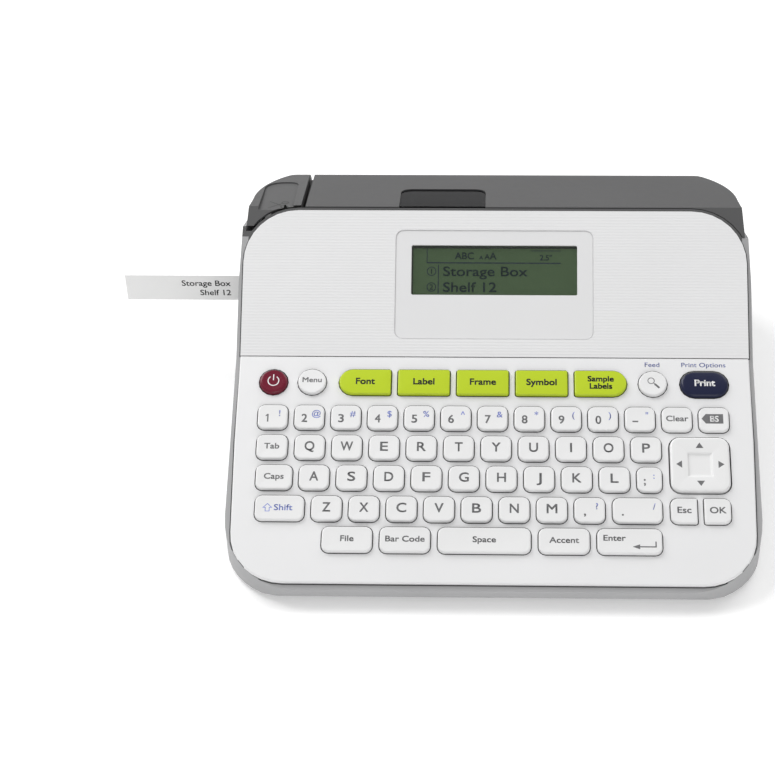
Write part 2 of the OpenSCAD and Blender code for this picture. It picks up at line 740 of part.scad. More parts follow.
module ribbon_spindle() {
    color(ivory) {
        post(ribbon_at.x, ribbon_at.y, gear_z + 1, bay_floor + 2, 1.5);
        gear(ribbon_at, ribbon_teeth, ribbon_phase);
        post(ribbon_at.x, ribbon_at.y, bay_floor + 1.2, bay_floor + 18, 2.4);
        for (a = [0:60:300]) translate([ribbon_at.x, ribbon_at.y, bay_floor + 4]) rotate([0, 0, a])
            translate([2, -0.4, 0]) cube([1.3, 0.8, 13]);
    }
}

// ---------------------------------------------------------------- tape cover

// Rear side profile between the surface n below and the lower edge
function rear_profile(n, side) = concat(
    [[meet_y(-panel_step - n, side), cover_height(meet_y(-panel_step - n, side)) - side / cos(cover_slope)]],
    [[84, cover_height(84) - side / cos(cover_slope)], [84, hinge_z], [half_d - n, hinge_z]],
    arc([turn_y, hinge_z], turn_r - n, 0, 90 - cover_slope, 8),
    [[meet_y(-panel_step - n, n), cover_height(meet_y(-panel_step - n, n)) - n / cos(cover_slope)]]);

// What the slanting round of each rear corner takes off: outside a cylinder that leans forward
corner_r = 30;
corner_at = [rear_half_w - cover_step - corner_r, 56, 60];
corner_lean = 21.8;
module rear_corners(inset) {
    for (side = [0, 1]) mirror([side, 0, 0]) translate(corner_at) rotate([corner_lean, 0, 0]) difference() {
        block([0, 0, -big], [big, big, big]);
        cylinder(h = 3 * big, r = corner_r - inset, center = true);
    }
}

module rear_shell(inset, thickness, up, side) {
    difference() {
        intersection() {
            slab(cover_plan(0), 0, 90);
            across(rear_profile(0, side), -half_w, half_w);
        }
        rear_corners(0);
        difference() {
            intersection() {
                slab(cover_plan(thickness), -1, 91);
                across(rear_profile(thickness, 60), -half_w, half_w);
            }
            rear_corners(thickness);
        }
        on_display() slab(display_outline(rim_w + inset, up), -40, 20);
    }
}

window_x = -19.4;
window_y = [40, 64.6];

module window_outline(grow) {
    polygon(rounded([window_x - window_w / 2 - grow, window_y[0]],
        [window_x + window_w / 2 + grow, window_y[1] + grow], 1, 4 + grow, 4));
}

module tape_cover() {
    color(cover_grey) difference() {
        union() {
            difference() {
                rear_shell(clear, cover_t, 0, cover_side);
                block([-big, -big, 0], [cover_edge_x, big, 90]);
            }
            // Left side and hinge barrel
            intersection() {
                across(rear_profile(0.4, 6), cover_edge_x, cover_edge_x + 1.6);
                difference() {
                    slab(cover_plan(0), 0, 90);
                    on_display() slab(display_outline(rim_w + clear), -40, 20);
                }
            }
            intersection() {
                bar(cover_edge_x, ear_x[0] - 0.4, hinge_y, hinge_z, hinge_r);
                slab(cover_plan(0), 0, 90);
            }
        }
        translate([0, 0, 50]) linear_extrude(40) window_outline(0);
        // Room for the bearing ears
        block([ear_x[0] - 0.4, half_d - 5.4, hinge_z - 3], [ear_x[1] + 0.3, half_d + 1, hinge_z + 2.6]);
        block([bay_left[0] - 1, half_d - 5.4, hinge_z - 3], [cover_edge_x, half_d + 1, hinge_z + 2.6]);
    }
    // The two hinge pins
    color(cover_grey) {
        bar(bay_left[0] + 0.1, cover_edge_x + 0.6, hinge_y, hinge_z, 1.2);
        bar(ear_x[0] - 0.9, ear_x[1] - 0.1, hinge_y, hinge_z, 1.2);
    }
}

module tape_cover_window() {
    color([0.16, 0.17, 0.17, 0.6]) intersection() {
        translate([0, 0, 50]) linear_extrude(40) window_outline(-0.05);
        across([[cover_y + 1.6, cover_height(cover_y + 1.6) - 0.5], [70, cover_height(70) - 0.5],
            [70, cover_height(70) - 1.9], [cover_y + 2.2, cover_height(cover_y + 2.2) - 1.9]], -half_w, half_w);
    }
}

// ---------------------------------------------------------------- cutter

lever_gap = 1;

// Finger hollow in the lever, its distances up the cover's slope from the ridge
hollow_x = [-87.6, -75.2];
hollow_s = [-20, 31.5];

module cutter_lever() {
    color(lever_grey) difference() {
        union() {
            difference() {
                rear_shell(clear, 2, lever_gap, lever_side);
                block([lever_edge_x, -big, 0], [big, big, 90]);
            }
            // Right side and the rib that hold the pivot shaft
            intersection() {
                across(rear_profile(0.2, 11), lever_edge_x - 1.6, lever_edge_x);
                difference() {
                    slab(cover_plan(0), 0, 90);
                    on_display() slab(display_outline(rim_w + clear, lever_gap), -40, 20);
                }
            }
            intersection() {
                across([[74, 51.4], [74, 59], [83, 56], [83, 51.4]], -77.2, -75.8);
                across(rear_profile(0.2, 60), -half_w, 0);
            }
            bar(-79.2, lever_edge_x - 1, lever_pivot[0], lever_pivot[1], 1.2);
            bar(lever_edge_x - 1.2, bay_left[1] - 0.1, lever_pivot[0], lever_pivot[1], 1.2);
        }
        // Finger hollow, deeper towards the front
        on_cover() translate([0, hollow_s[1], -0.5]) rotate([1.3, 0, 0]) translate([0, -hollow_s[1], 0])
            linear_extrude(20) polygon(concat(
                [[hollow_x[1] + 0.8, hollow_s[0]]],
                arc([hollow_x[1] - 3, hollow_s[1] - 3], 3, 0, 90, 4),
                arc([hollow_x[0] + 7, hollow_s[1] - 7], 7, 90, 180, 6),
                [[hollow_x[0], hollow_s[0]]]));
    }
}

module fixed_blade() {
    color(steel) {
        block([-81.3, 43.4, floor_z], [-80.5, 45.9, 37]);
        block([-81.3, 40, floor_z], [-76, 45.9, floor_z + 1.2]);
    }
}

module cutter_blade() {
    color(steel) difference() {
        across([[47.7, 17.6], [53, 38.8], [57, 38.8], [59.4, 15], [58, 11.2], [54, 11.2], [50, 14.5]],
            blade_x[0], blade_x[1]);
        bar(blade_x[0] - 1, blade_x[1] + 1, blade_pivot[0], blade_pivot[1], 1.25);
    }
}

spring_at = [-78, 66];
spring_z = [40, 60.3];

module cutter_spring() {
    color(steel) difference() {
        post(spring_at.x, spring_at.y, spring_z[0] + 0.02, spring_z[1], 3);
        post(spring_at.x, spring_at.y, 0, 90, 2.3);
    }
}

// ---------------------------------------------------------------- power

module cell_at(i, k) {
    translate([cell_x0 + i * cell_pitch, cell_y0, cell_z0 + k * cell_pitch]) children();
}

module batteries() {
    color([0.2, 0.22, 0.24]) for (i = [0:2], k = [0:1])
        cell_at(i, k) rotate([-90, 0, 0]) cylinder(h = cell_l, r = cell_d / 2);
    color(steel) for (i = [0:2], k = [0:1])
        cell_at(i, k) translate([0, (i + k) % 2 == 0 ? cell_l : -0.9, 0])
            rotate([-90, 0, 0]) cylinder(h = 0.9, r = 2.6);
}

box_low = [cell_x0 - cell_d / 2 - 0.4, cell_y0 - 3.2, floor_z + 0.02];
box_high = [cell_x0 + 2 * cell_pitch + cell_d / 2 + 0.4, half_d - wall - 0.1, floor_z + 32.8];

module battery_box() {
    color(dark) difference() {
        block(box_low - [box_t, box_t, 0], box_high + [box_t, 0, box_t * 0.5]);
        block(box_low + [0, 0, box_t * 0.6], [box_high.x, half_d, box_high.z - box_t * 0.5]);
    }
}

module battery_contacts() {
    color(steel) for (i = [0:2], k = [0:1])
        cell_at(i, k) translate([0, -1.6, 0]) rotate([90, 0, 0]) {
            translate([-5, -5, 0.6]) cube([10, 10, 0.5]);
            difference() {
                cylinder(h = 0.7, r = 3);
                translate([0, 0, -1]) cylinder(h = 3, r = 2.2);
            }
        }
}

module battery_cover() {
    color(case_grey) {
        block([hatch_x[0] + 0.25, half_d - wall + 0.1, hatch_z[0] + 0.25],
            [hatch_x[1] - 0.25, half_d - 0.05, hatch_z[1] - 0.25]);
        for (x = [cell_x0, cell_x0 + cell_pitch, cell_x0 + 2 * cell_pitch])
            block([x - 1.2, half_d - wall - 1, cell_z0 - 3],
                [x + 1.2, half_d - wall + 0.2, cell_z0 + cell_pitch + 3]);
    }
}

module dc_jack() {
    color([0.1, 0.1, 0.1]) {
        difference() {
            union() {
                block([jack_x - 4.6, half_d - wall - 11, floor_z],
                    [jack_x + 4.6, half_d - wall - 0.1, jack_z + 4.6]);
                translate([jack_x, half_d - wall - 1, jack_z]) rotate([-90, 0, 0])
                    cylinder(h = wall + 0.6, r = 4.1);
            }
            translate([jack_x, half_d - 10, jack_z]) rotate([-90, 0, 0]) cylinder(h = 12, r = socket_r);
        }
        translate([jack_x, half_d - 10.5, jack_z]) rotate([-90, 0, 0]) cylinder(h = 8.5, r = 0.9);
    }
}

board_x = [-32, 19];

module main_board() {
    color(board_green) block([board_x[0], -8, floor_z + 5], [board_x[1], 40, floor_z + 6.6]);
    color(dark) {
        block([-24, 8, floor_z + 6.6], [-8, 24, floor_z + 8.4]);
        block([0, 12, floor_z + 6.6], [8, 26, floor_z + 8.2]);
        block([-26, 30, floor_z + 6.6], [-4, 34, floor_z + 12]);
    }
    color(board_green) for (x = [board_x[0] + 3, board_x[1] - 3], y = [-5, 37])
        post(x, y, floor_z, floor_z + 5.1, 2);
}

base_case();
keyboard_deck();
display_cover();
display_bezel();
display_window();
lcd_panel();
bay_tray();
print_head();
feed_motor();
fixed_blade();
main_board();
keyboard_board();
keypad_mat();
battery_box();
battery_contacts();
dc_jack();
rubber_feet();
case_screws();
cutter_spring();
tape_cassette();
cassette_cover();
batteries();
tape_cover();
tape_cover_window();
cutter_lever();
cutter_blade();
tape_spool();
label_tape();
platen_roller();
idler_gear();
motor_pinion();
ribbon_spindle();
battery_cover();
key_power();
key_menu();
key_font();
key_label();
key_frame();
key_symbol();
key_sample();
key_preview();
key_print();
keys_number_row();
key_clear();
key_backspace();
key_tab();
keys_qwerty_row();
key_caps();
keys_asdf_row();
key_shift();
keys_zxcv_row();
key_file();
key_barcode();
key_space();
key_accent();
key_enter();
key_esc();
key_ok();
dpad_cross();
dpad();
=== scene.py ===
import json
import math

import bmesh
import bpy
from mathutils import Matrix, Vector
from mathutils.bvhtree import BVHTree


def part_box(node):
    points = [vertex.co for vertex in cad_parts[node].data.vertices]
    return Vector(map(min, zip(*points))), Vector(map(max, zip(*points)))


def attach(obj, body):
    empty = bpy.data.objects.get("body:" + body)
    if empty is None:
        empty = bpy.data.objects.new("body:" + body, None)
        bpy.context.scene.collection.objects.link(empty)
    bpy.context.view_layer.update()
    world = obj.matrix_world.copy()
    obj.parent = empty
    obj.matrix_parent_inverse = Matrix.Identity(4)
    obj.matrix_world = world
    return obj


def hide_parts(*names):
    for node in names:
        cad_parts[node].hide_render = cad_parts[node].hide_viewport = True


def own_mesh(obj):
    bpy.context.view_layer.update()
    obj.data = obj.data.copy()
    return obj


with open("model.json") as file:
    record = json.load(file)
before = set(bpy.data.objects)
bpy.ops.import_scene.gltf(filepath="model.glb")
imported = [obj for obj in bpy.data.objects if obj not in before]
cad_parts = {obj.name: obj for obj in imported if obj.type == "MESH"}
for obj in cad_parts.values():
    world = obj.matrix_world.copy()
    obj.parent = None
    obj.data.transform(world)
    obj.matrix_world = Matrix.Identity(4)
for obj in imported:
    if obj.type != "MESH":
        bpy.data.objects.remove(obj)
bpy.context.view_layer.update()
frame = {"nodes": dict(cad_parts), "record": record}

MM = 0.001
nodes = frame["nodes"]
body_of_node = {n: b for b, members in frame["record"]["behaviour"]["bodies"].items() for n in members}
slot_of_node = {p["node"]: p["material_slot"] for p in frame["record"]["subparts"]}


# ------------------------------------------------------------------ sloping frames

def sloping(node, slope, depth=1.0):
    """Frame on a node's sloping top face: X to the right, Y up the slope, Z outwards.

    Its origin is the front edge of what lies within depth metres of that face.
    """
    turn = Matrix.Rotation(math.radians(slope), 4, "X")
    back = turn.inverted()
    points = [back @ v.co for v in nodes[node].data.vertices]
    top = max(p.z for p in points)
    front = min(p.y for p in points if p.z > top - depth)
    return turn @ Matrix.Translation((0, front, top))


DECK_SLOPE = 20
DISPLAY_SLOPE = 36
COVER_SLOPE = -20
deck = sloping("keyboard_deck", DECK_SLOPE)
display = sloping("display_cover", DISPLAY_SLOPE)
cover = sloping("tape_cover", COVER_SLOPE, 0.02 * MM)


# ------------------------------------------------------------------ materials

def shader(name):
    material = bpy.data.materials.new(name)
    material.use_nodes = True
    tree = material.node_tree
    return material, tree, tree.nodes["Principled BSDF"]


def noise(tree, scale, detail=3.0, stretch=None):
    """Noise on the piece's own coordinates; stretch scales them along each axis."""
    where = tree.nodes.new("ShaderNodeTexCoord").outputs["Object"]
    if stretch:
        mapping = tree.nodes.new("ShaderNodeMapping")
        mapping.inputs["Scale"].default_value = stretch
        tree.links.new(where, mapping.inputs["Vector"])
        where = mapping.outputs["Vector"]
    texture = tree.nodes.new("ShaderNodeTexNoise")
    texture.inputs["Scale"].default_value = scale
    texture.inputs["Detail"].default_value = detail
    tree.links.new(where, texture.inputs["Vector"])
    return texture.outputs["Fac"]


def spread(tree, value, low, high):
    """A 0 to 1 value moved to the range low to high."""
    node = tree.nodes.new("ShaderNodeMapRange")
    node.inputs["From Min"].default_value = 0.3
    node.inputs["From Max"].default_value = 0.7
    node.inputs["To Min"].default_value = low
    node.inputs["To Max"].default_value = high
    tree.links.new(value, node.inputs["Value"])
    return node.outputs["Result"]


def tinted(tree, value, colour, change):
    """The colour, a little darker and lighter as value goes from 0.3 to 0.7."""
    mix = tree.nodes.new("ShaderNodeMix")
    mix.data_type = "RGBA"
    mix.inputs["A"].default_value = [c * (1 - change) for c in colour] + [1]
    mix.inputs["B"].default_value = [min(1, c * (1 + change)) for c in colour] + [1]
    tree.links.new(spread(tree, value, 0, 1), mix.inputs["Factor"])
    return mix.outputs["Result"]


def bump(tree, value, distance, strength=1.0, after=None):
    """Relief this deep, laid over another relief where after gives one."""
    node = tree.nodes.new("ShaderNodeBump")
    node.inputs["Strength"].default_value = strength
    node.inputs["Distance"].default_value = distance
    tree.links.new(value, node.inputs["Height"])
    if after:
        tree.links.new(after, node.inputs["Normal"])
    return node.outputs["Normal"]


def dress(tree, principled, colour, gloss, relief=None):
    """Links a look's colour, roughness and relief to its shader."""
    tree.links.new(colour, principled.inputs["Base Color"])
    tree.links.new(gloss, principled.inputs["Roughness"])
    if relief:
        tree.links.new(relief, principled.inputs["Normal"])


def plastic(name, colour, rough=0.42, grain=2600, depth=0.006, change=0.025,
            coat=0.0, uneven=0.05, shine=0.5):
    """Moulded plastic: fine spark grain, depth mm deep, with a slow drift of shade and of gloss."""
    material, tree, principled = shader(name)
    shades = tinted(tree, noise(tree, 24, 2), colour, change)
    gloss = spread(tree, noise(tree, 310, 3), rough - uneven, rough + uneven)
    dress(tree, principled, shades, gloss, bump(tree, noise(tree, grain, 2), depth * MM))
    principled.inputs["Specular IOR Level"].default_value = shine
    principled.inputs["Coat Weight"].default_value = coat
    principled.inputs["Coat Roughness"].default_value = 0.12
    return material


def metal(name, colour, rough=0.3, brushed=(1, 1, 40)):
    """Metal with fine brushed lines."""
    material, tree, principled = shader(name)
    lines = noise(tree, 120, 4, brushed)
    gloss = spread(tree, lines, rough - 0.1, rough + 0.12)
    dress(tree, principled, tinted(tree, lines, colour, 0.12), gloss, bump(tree, lines, 0.01 * MM))
    principled.inputs["Metallic"].default_value = 1.0
    return material


def rubbery(name, colour, rough=0.75, grain=900):
    """Dull rubber with a coarse grain."""
    material, tree, principled = shader(name)
    shades = tinted(tree, noise(tree, 60, 3), colour, 0.15)
    gloss = spread(tree, noise(tree, 200, 2), rough - 0.08, rough + 0.08)
    dress(tree, principled, shades, gloss, bump(tree, noise(tree, grain, 3), 0.03 * MM))
    return material


def ink(name, colour, rough=0.5):
    """Printed ink, a little uneven at its own scale."""
    material, tree, principled = shader(name)
    shades = tinted(tree, noise(tree, 900, 3), colour, 0.08)
    dress(tree, principled, shades, spread(tree, noise(tree, 500, 2), rough - 0.05, rough + 0.08))
    return material


def glass(name, colour, rough, clearness, shine=0.25, index=1.45):
    """Thin clear plastic: mostly see-through, with the shine of its two faces and a faint haze."""
    material, tree, principled = shader(name)
    shades = tinted(tree, noise(tree, 40, 2), colour, 0.04)
    dress(tree, principled, shades, spread(tree, noise(tree, 260, 3), rough, rough + 0.05))
    principled.inputs["Alpha"].default_value = 1 - clearness
    principled.inputs["Specular IOR Level"].default_value = shine
    principled.inputs["IOR"].default_value = index
    return material


def ribbed_white(name, colour, pitch):
    """The display panel's satin white with a fine moulded line every pitch up its slope."""
    material, tree, principled = shader(name)
    shades = tinted(tree, noise(tree, 24, 2), colour, 0.012)
    gloss = spread(tree, noise(tree, 310, 3), 0.38, 0.46)
    where = tree.nodes.new("ShaderNodeTexCoord").outputs["Object"]
    mapping = tree.nodes.new("ShaderNodeMapping")
    mapping.inputs["Rotation"].default_value = (-math.radians(DISPLAY_SLOPE), 0, 0)
    tree.links.new(where, mapping.inputs["Vector"])
    wave = tree.nodes.new("ShaderNodeTexWave")
    wave.bands_direction = "Y"
    # A wave texture's bands are 0.314 apart at scale 1
    wave.inputs["Scale"].default_value = 0.314 / pitch
    wave.inputs["Distortion"].default_value = 0.0
    tree.links.new(mapping.outputs["Vector"], wave.inputs["Vector"])
    grain = bump(tree, noise(tree, 2600, 2), 0.006 * MM)
    dress(tree, principled, shades, gloss, bump(tree, wave.outputs["Fac"], 0.05 * MM, 0.8, grain))
    return material


# One look for each material slot of the frame
LOOKS = {
    "white_panel": plastic("white_panel", (0.775, 0.775, 0.78), 0.4, 2600, 0.005, 0.012),
    "key_white": plastic("key_white", (0.775, 0.775, 0.775), 0.36, 3000, 0.004, 0.012, 0.1),
    "case_grey": plastic("case_grey", (0.37, 0.37, 0.375), 0.5, 1700, 0.014, 0.03),
    "cover_grey": plastic("cover_grey", (0.108, 0.108, 0.109), 0.5, 1900, 0.008, 0.015, 0, 0.015, 0.03),
    "lever_grey": plastic("lever_grey", (0.115, 0.115, 0.116), 0.5, 1900, 0.008, 0.015, 0, 0.015, 0.05),
    "dark_plastic": plastic("dark_plastic", (0.022, 0.022, 0.024), 0.5, 1500, 0.015, 0.08),
    "key_lime": plastic("key_lime", (0.47, 0.6, 0.018), 0.32, 2600, 0.003, 0.012, 0.08, 0.02, 0.35),
    "key_maroon": plastic("key_maroon", (0.145, 0.006, 0.022), 0.27, 2600, 0.003, 0.03, 0.1, 0.02, 0.3),
    "key_navy": plastic("key_navy", (0.011, 0.014, 0.044), 0.3, 2600, 0.003, 0.03, 0.06, 0.02, 0.25),
    "clear_window": glass("clear_window", (0.01, 0.014, 0.01), 0.04, 0.9),
    "smoked_window": glass("smoked_window", (0.012, 0.012, 0.013), 0.06, 0.14, 0.3, 1.12),
    "lcd_green": plastic("lcd_green", (0.15, 0.225, 0.125), 0.35, 900, 0.002, 0.03, 0, 0.02, 0.2),
    "circuit_board": plastic("circuit_board", (0.012, 0.09, 0.035), 0.35, 700, 0.01, 0.15, 0.3),
    "key_mat": rubbery("key_mat", (0.55, 0.55, 0.53), 0.6),
    "rubber": rubbery("rubber", (0.012, 0.012, 0.012)),
    "steel": metal("steel", (0.62, 0.63, 0.65)),
    "brass": metal("brass", (0.72, 0.5, 0.18)),
    "gear_ivory": plastic("gear_ivory", (0.72, 0.68, 0.55), 0.45, 1500, 0.008, 0.04),
    "cassette_plastic": plastic("cassette_plastic", (0.03, 0.03, 0.032), 0.45, 1500, 0.015, 0.08),
    "battery_wrap": plastic("battery_wrap", (0.03, 0.035, 0.045), 0.25, 900, 0.004, 0.1, 0.3),
    "label_white": plastic("label_white", (0.76, 0.76, 0.755), 0.4, 1200, 0.004, 0.008, 0, 0.015, 0.3),
}
PANEL = ribbed_white("display_white", (0.80, 0.80, 0.805), 1.1 * MM)
# Painted shade: a dark colour for the shadowed gaps round the keys and the walls of their openings
PAINTED_GAP_SHADE = plastic("painted_gap_shade", (0.045, 0.045, 0.046), 0.6)
# Painted shade: a dark colour for the shadowed seam round the white panels
PAINTED_SEAM_SHADE = rubbery("painted_seam_shade", (0.05, 0.05, 0.052), 0.6)
GREY_INK = ink("grey_ink", (0.14, 0.14, 0.145))
DARK_INK = ink("dark_ink", (0.012, 0.014, 0.012))
BLUE_INK = ink("blue_ink", (0.2, 0.25, 0.62))
WHITE_INK = ink("white_ink", (0.8, 0.8, 0.8))
LCD_INK = ink("lcd_ink", (0.012, 0.016, 0.06), 0.35)
LCD_LINE = ink("lcd_line", (0.125, 0.19, 0.105), 0.35)
# Painted shadow that the bezel casts on the liquid crystal
LCD_PAINTED_SHADOW = ink("lcd_painted_shadow", (0.042, 0.05, 0.04), 0.5)
BLACK_INK = ink("black_ink", (0.008, 0.008, 0.009), 0.35)


# ------------------------------------------------------------------ pieces from meshes

def piece(name, bm, body, look):
    """A new piece that rides on this body; look is one material or a list of them."""
    mesh = bpy.data.meshes.new(name)
    bm.to_mesh(mesh)
    bm.free()
    obj = bpy.data.objects.new(name, mesh)
    bpy.context.scene.collection.objects.link(obj)
    for material in look if isinstance(look, list) else [look]:
        mesh.materials.append(material)
    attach(obj, body)
    return obj


def shade(bm, degrees=32):
    """Smooth faces, with the edges sharper than this kept crisp."""
    limit = math.radians(degrees)
    for face in bm.faces:
        face.smooth = True
    for edge in bm.edges:
        edge.smooth = len(edge.link_faces) == 2 and edge.calc_face_angle() < limit


def even_normals(obj):
    """Lets large flat faces keep flat shading beside their rounded edges."""
    modifier = obj.modifiers.new("even_normals", "WEIGHTED_NORMAL")
    modifier.keep_sharp = True
    return obj


def welded(node):
    """A CAD node's mesh as one clean bmesh, its flat faces joined up."""
    bm = bmesh.new()
    bm.from_mesh(nodes[node].data)
    bmesh.ops.remove_doubles(bm, verts=bm.verts, dist=0.002 * MM)
    bmesh.ops.dissolve_degenerate(bm, dist=0.001 * MM, edges=bm.edges)
    bmesh.ops.dissolve_limit(bm, angle_limit=math.radians(0.6), verts=bm.verts, edges=bm.edges)
    bm.normal_update()
    return bm


def round_edges(bm, width, segments, wanted, least=28):
    """Rounds the sharp edges that wanted picks by their middle point and their two normals."""
    limit = math.radians(least)
    edges = [
        e for e in bm.edges
        if len(e.link_faces) == 2 and e.calc_face_angle() > limit
        and wanted((e.verts[0].co + e.verts[1].co) / 2, [f.normal for f in e.link_faces])
    ]
    bmesh.ops.bevel(
        bm, geom=edges, offset=width, offset_type="OFFSET", segments=segments,
        profile=0.5, affect="EDGES", clamp_overlap=True,
    )
    bm.normal_update()


def everywhere(middle, normals):
    return True


def refined(node, rounds, look=None):
    """Stands for a CAD node with the same shape and rounded edges.

    rounds lists the width in mm, the segments and the picked edges of each rounding.
    """
    bm = welded(node)
    for width, segments, wanted in rounds:
        round_edges(bm, width * MM, segments, wanted)
    shade(bm)
    slot = slot_of_node[node]
    obj = piece("look_" + node, bm, body_of_node[node], look or LOOKS[slot])
    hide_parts(node)
    return even_normals(obj)


def islands(node, matrix):
    """The separate solids of a node as lists of points in a sloping frame, from left to right."""
    back = matrix.inverted()
    bm = bmesh.new()
    bm.from_mesh(nodes[node].data)
    bmesh.ops.remove_doubles(bm, verts=bm.verts, dist=0.002 * MM)
    left = set(bm.verts)
    groups = []
    while left:
        group = set()
        front = [left.pop()]
        while front:
            vert = front.pop()
            group.add(vert)
            for edge in vert.link_edges:
                other = edge.other_vert(vert)
                if other in left:
                    left.remove(other)
                    front.append(other)
        groups.append([back @ v.co for v in group])
    bm.free()
    return sorted(groups, key=lambda g: min(p.x for p in g))


# ------------------------------------------------------------------ keys

def rounded_outline(width, depth, left, right, steps=8):
    """Points round a box about the origin, with a corner radius for its left and one for its right."""
    corners = [
        (width / 2 - right, right - depth / 2, right, -90),
        (width / 2 - right, depth / 2 - right, right, 0),
        (left - width / 2, depth / 2 - left, left, 90),
        (left - width / 2, left - depth / 2, left, 180),
    ]
    points = []
    for x, y, radius, start in corners:
        for i in range(steps + 1):
            a = math.radians(start + 90 * i / steps)
            points.append(Vector((x + radius * math.cos(a), y + radius * math.sin(a))))
    return points


def ring_solid(bm, rings):
    """Joins rings of points, from the bottom up, into a closed solid."""
    loops = [[bm.verts.new(p) for p in ring] for ring in rings]
    count = len(loops[0])
    for low, high in zip(loops, loops[1:]):
        for i in range(count):
            bm.faces.new((low[i], low[(i + 1) % count], high[(i + 1) % count], high[i]))
    bm.faces.new(list(reversed(loops[0])))
    bm.faces.new(loops[-1])


class Cap:
    """Size and place of one key, measured on its CAD solid in the keyboard's frame."""

    def __init__(self, points):
        self.top = max(p.z for p in points)
        self.bottom = min(p.z for p in points)
        face = [p for p in points if p.z > self.top - 0.05 * MM]
        low_x, high_x = min(p.x for p in face), max(p.x for p in face)
        low_y, high_y = min(p.y for p in face), max(p.y for p in face)
        self.at = Vector(((low_x + high_x) / 2, (low_y + high_y) / 2))
        self.width, self.depth = high_x - low_x, high_y - low_y
        near = 0.02 * MM
        self.left = high_y - max(p.y for p in face if p.x < low_x + near)
        self.right = high_y - max(p.y for p in face if p.x > high_x - near)

    def ring(self, inset, height):
        """The cap's outline at this height, this far in from the edge of its face."""
        least = 0.12 * MM
        outline = rounded_outline(
            self.width - 2 * inset, self.depth - 2 * inset,
            max(self.left - inset, least), max(self.right - inset, least),
        )
        return [Vector((self.at.x + p.x, self.at.y + p.y, height)) for p in outline]


# The flange that keeps a key in its opening, below the panel's face, and the lean of a key's sides
FLANGE = 0.6 * MM
FLANGE_LOW = -3.5 * MM
FLANGE_TOP = -2.8 * MM
DRAFT = 0.1 * MM


def rolled_edge(cap, edge, turns):
    """Rings that roll a cap's side over into its face."""
    angles = [math.radians(90 * i / turns) for i in range(turns + 1)]
    return [cap.ring(DRAFT + edge * (1 - math.cos(a)), cap.top - edge * (1 - math.sin(a))) for a in angles]


def cap_rings(cap, edge, dish):
    """Flange, drafted side, rounded edge and a face that dips (or, below 0, crowns) by dish."""
    rings = [cap.ring(-FLANGE, FLANGE_LOW), cap.ring(-FLANGE, FLANGE_TOP)]
    rings += [cap.ring(0.02 * MM, FLANGE_TOP), cap.ring(0, 0)]
    rings += rolled_edge(cap, edge, 6)
    start = DRAFT + edge
    room = min(cap.width, cap.depth) / 2 - start
    for share in (0.12, 0.28, 0.45, 0.62, 0.8, 0.93):
        rings.append(cap.ring(start + room * share, cap.top - dish * (1 - (1 - share) ** 2)))
    return rings


def make_keys(node, edge=0.5, dish=0.14):
    """Stands for every key of a node; returns the keys' measures and a tree to lay ink on.

    The sides below the panel, and the rear rounded edge that turns away from the light, take a painted
    shade: the gap's dark colour.
    """
    caps = [Cap(points) for points in islands(node, deck)]
    bm = bmesh.new()
    for cap in caps:
        ring_solid(bm, cap_rings(cap, edge * MM, dish * MM))
    bmesh.ops.remove_doubles(bm, verts=bm.verts, dist=0.002 * MM)
    tree = BVHTree.FromBMesh(bm)
    bm.normal_update()
    # Painted shade on the sunk sides and on the rounded rear edge that faces away from the light
    for face in bm.faces:
        sunk = max(v.co.z for v in face.verts) < 0.01 * MM
        turned_away = face.normal.y > 0.3 and 0.1 < face.normal.z < 0.94 and face.calc_center_median().z > 0
        if sunk or turned_away:
            face.material_index = 1
    shade(bm, 40)
    bm.transform(deck)
    slot = slot_of_node[node]
    obj = piece("look_" + node, bm, body_of_node[node], [LOOKS[slot], PAINTED_GAP_SHADE])
    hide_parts(node)
    return caps, tree


# ------------------------------------------------------------------ ink

def measure_font():
    """Height of the built-in font's capitals at size 1."""
    curve = bpy.data.curves.new("measure", "FONT")
    curve.body = "H"
    obj = bpy.data.objects.new("measure", curve)
    bpy.context.scene.collection.objects.link(obj)
    bpy.context.view_layer.update()
    tall = obj.dimensions.y
    bpy.data.objects.remove(obj)
    return tall


CAP_HEIGHT = measure_font()


def circle(at, radius, angles):
    """Points at these angles on a circle about at."""
    return [(at[0] + radius * math.cos(a), at[1] + radius * math.sin(a)) for a in angles]


def drop(tree, point):
    """Where a line straight down from high above this point meets the tree, or None."""
    return tree.ray_cast(Vector((point.x, point.y, 20 * MM)), Vector((0, 0, -1)))[0]


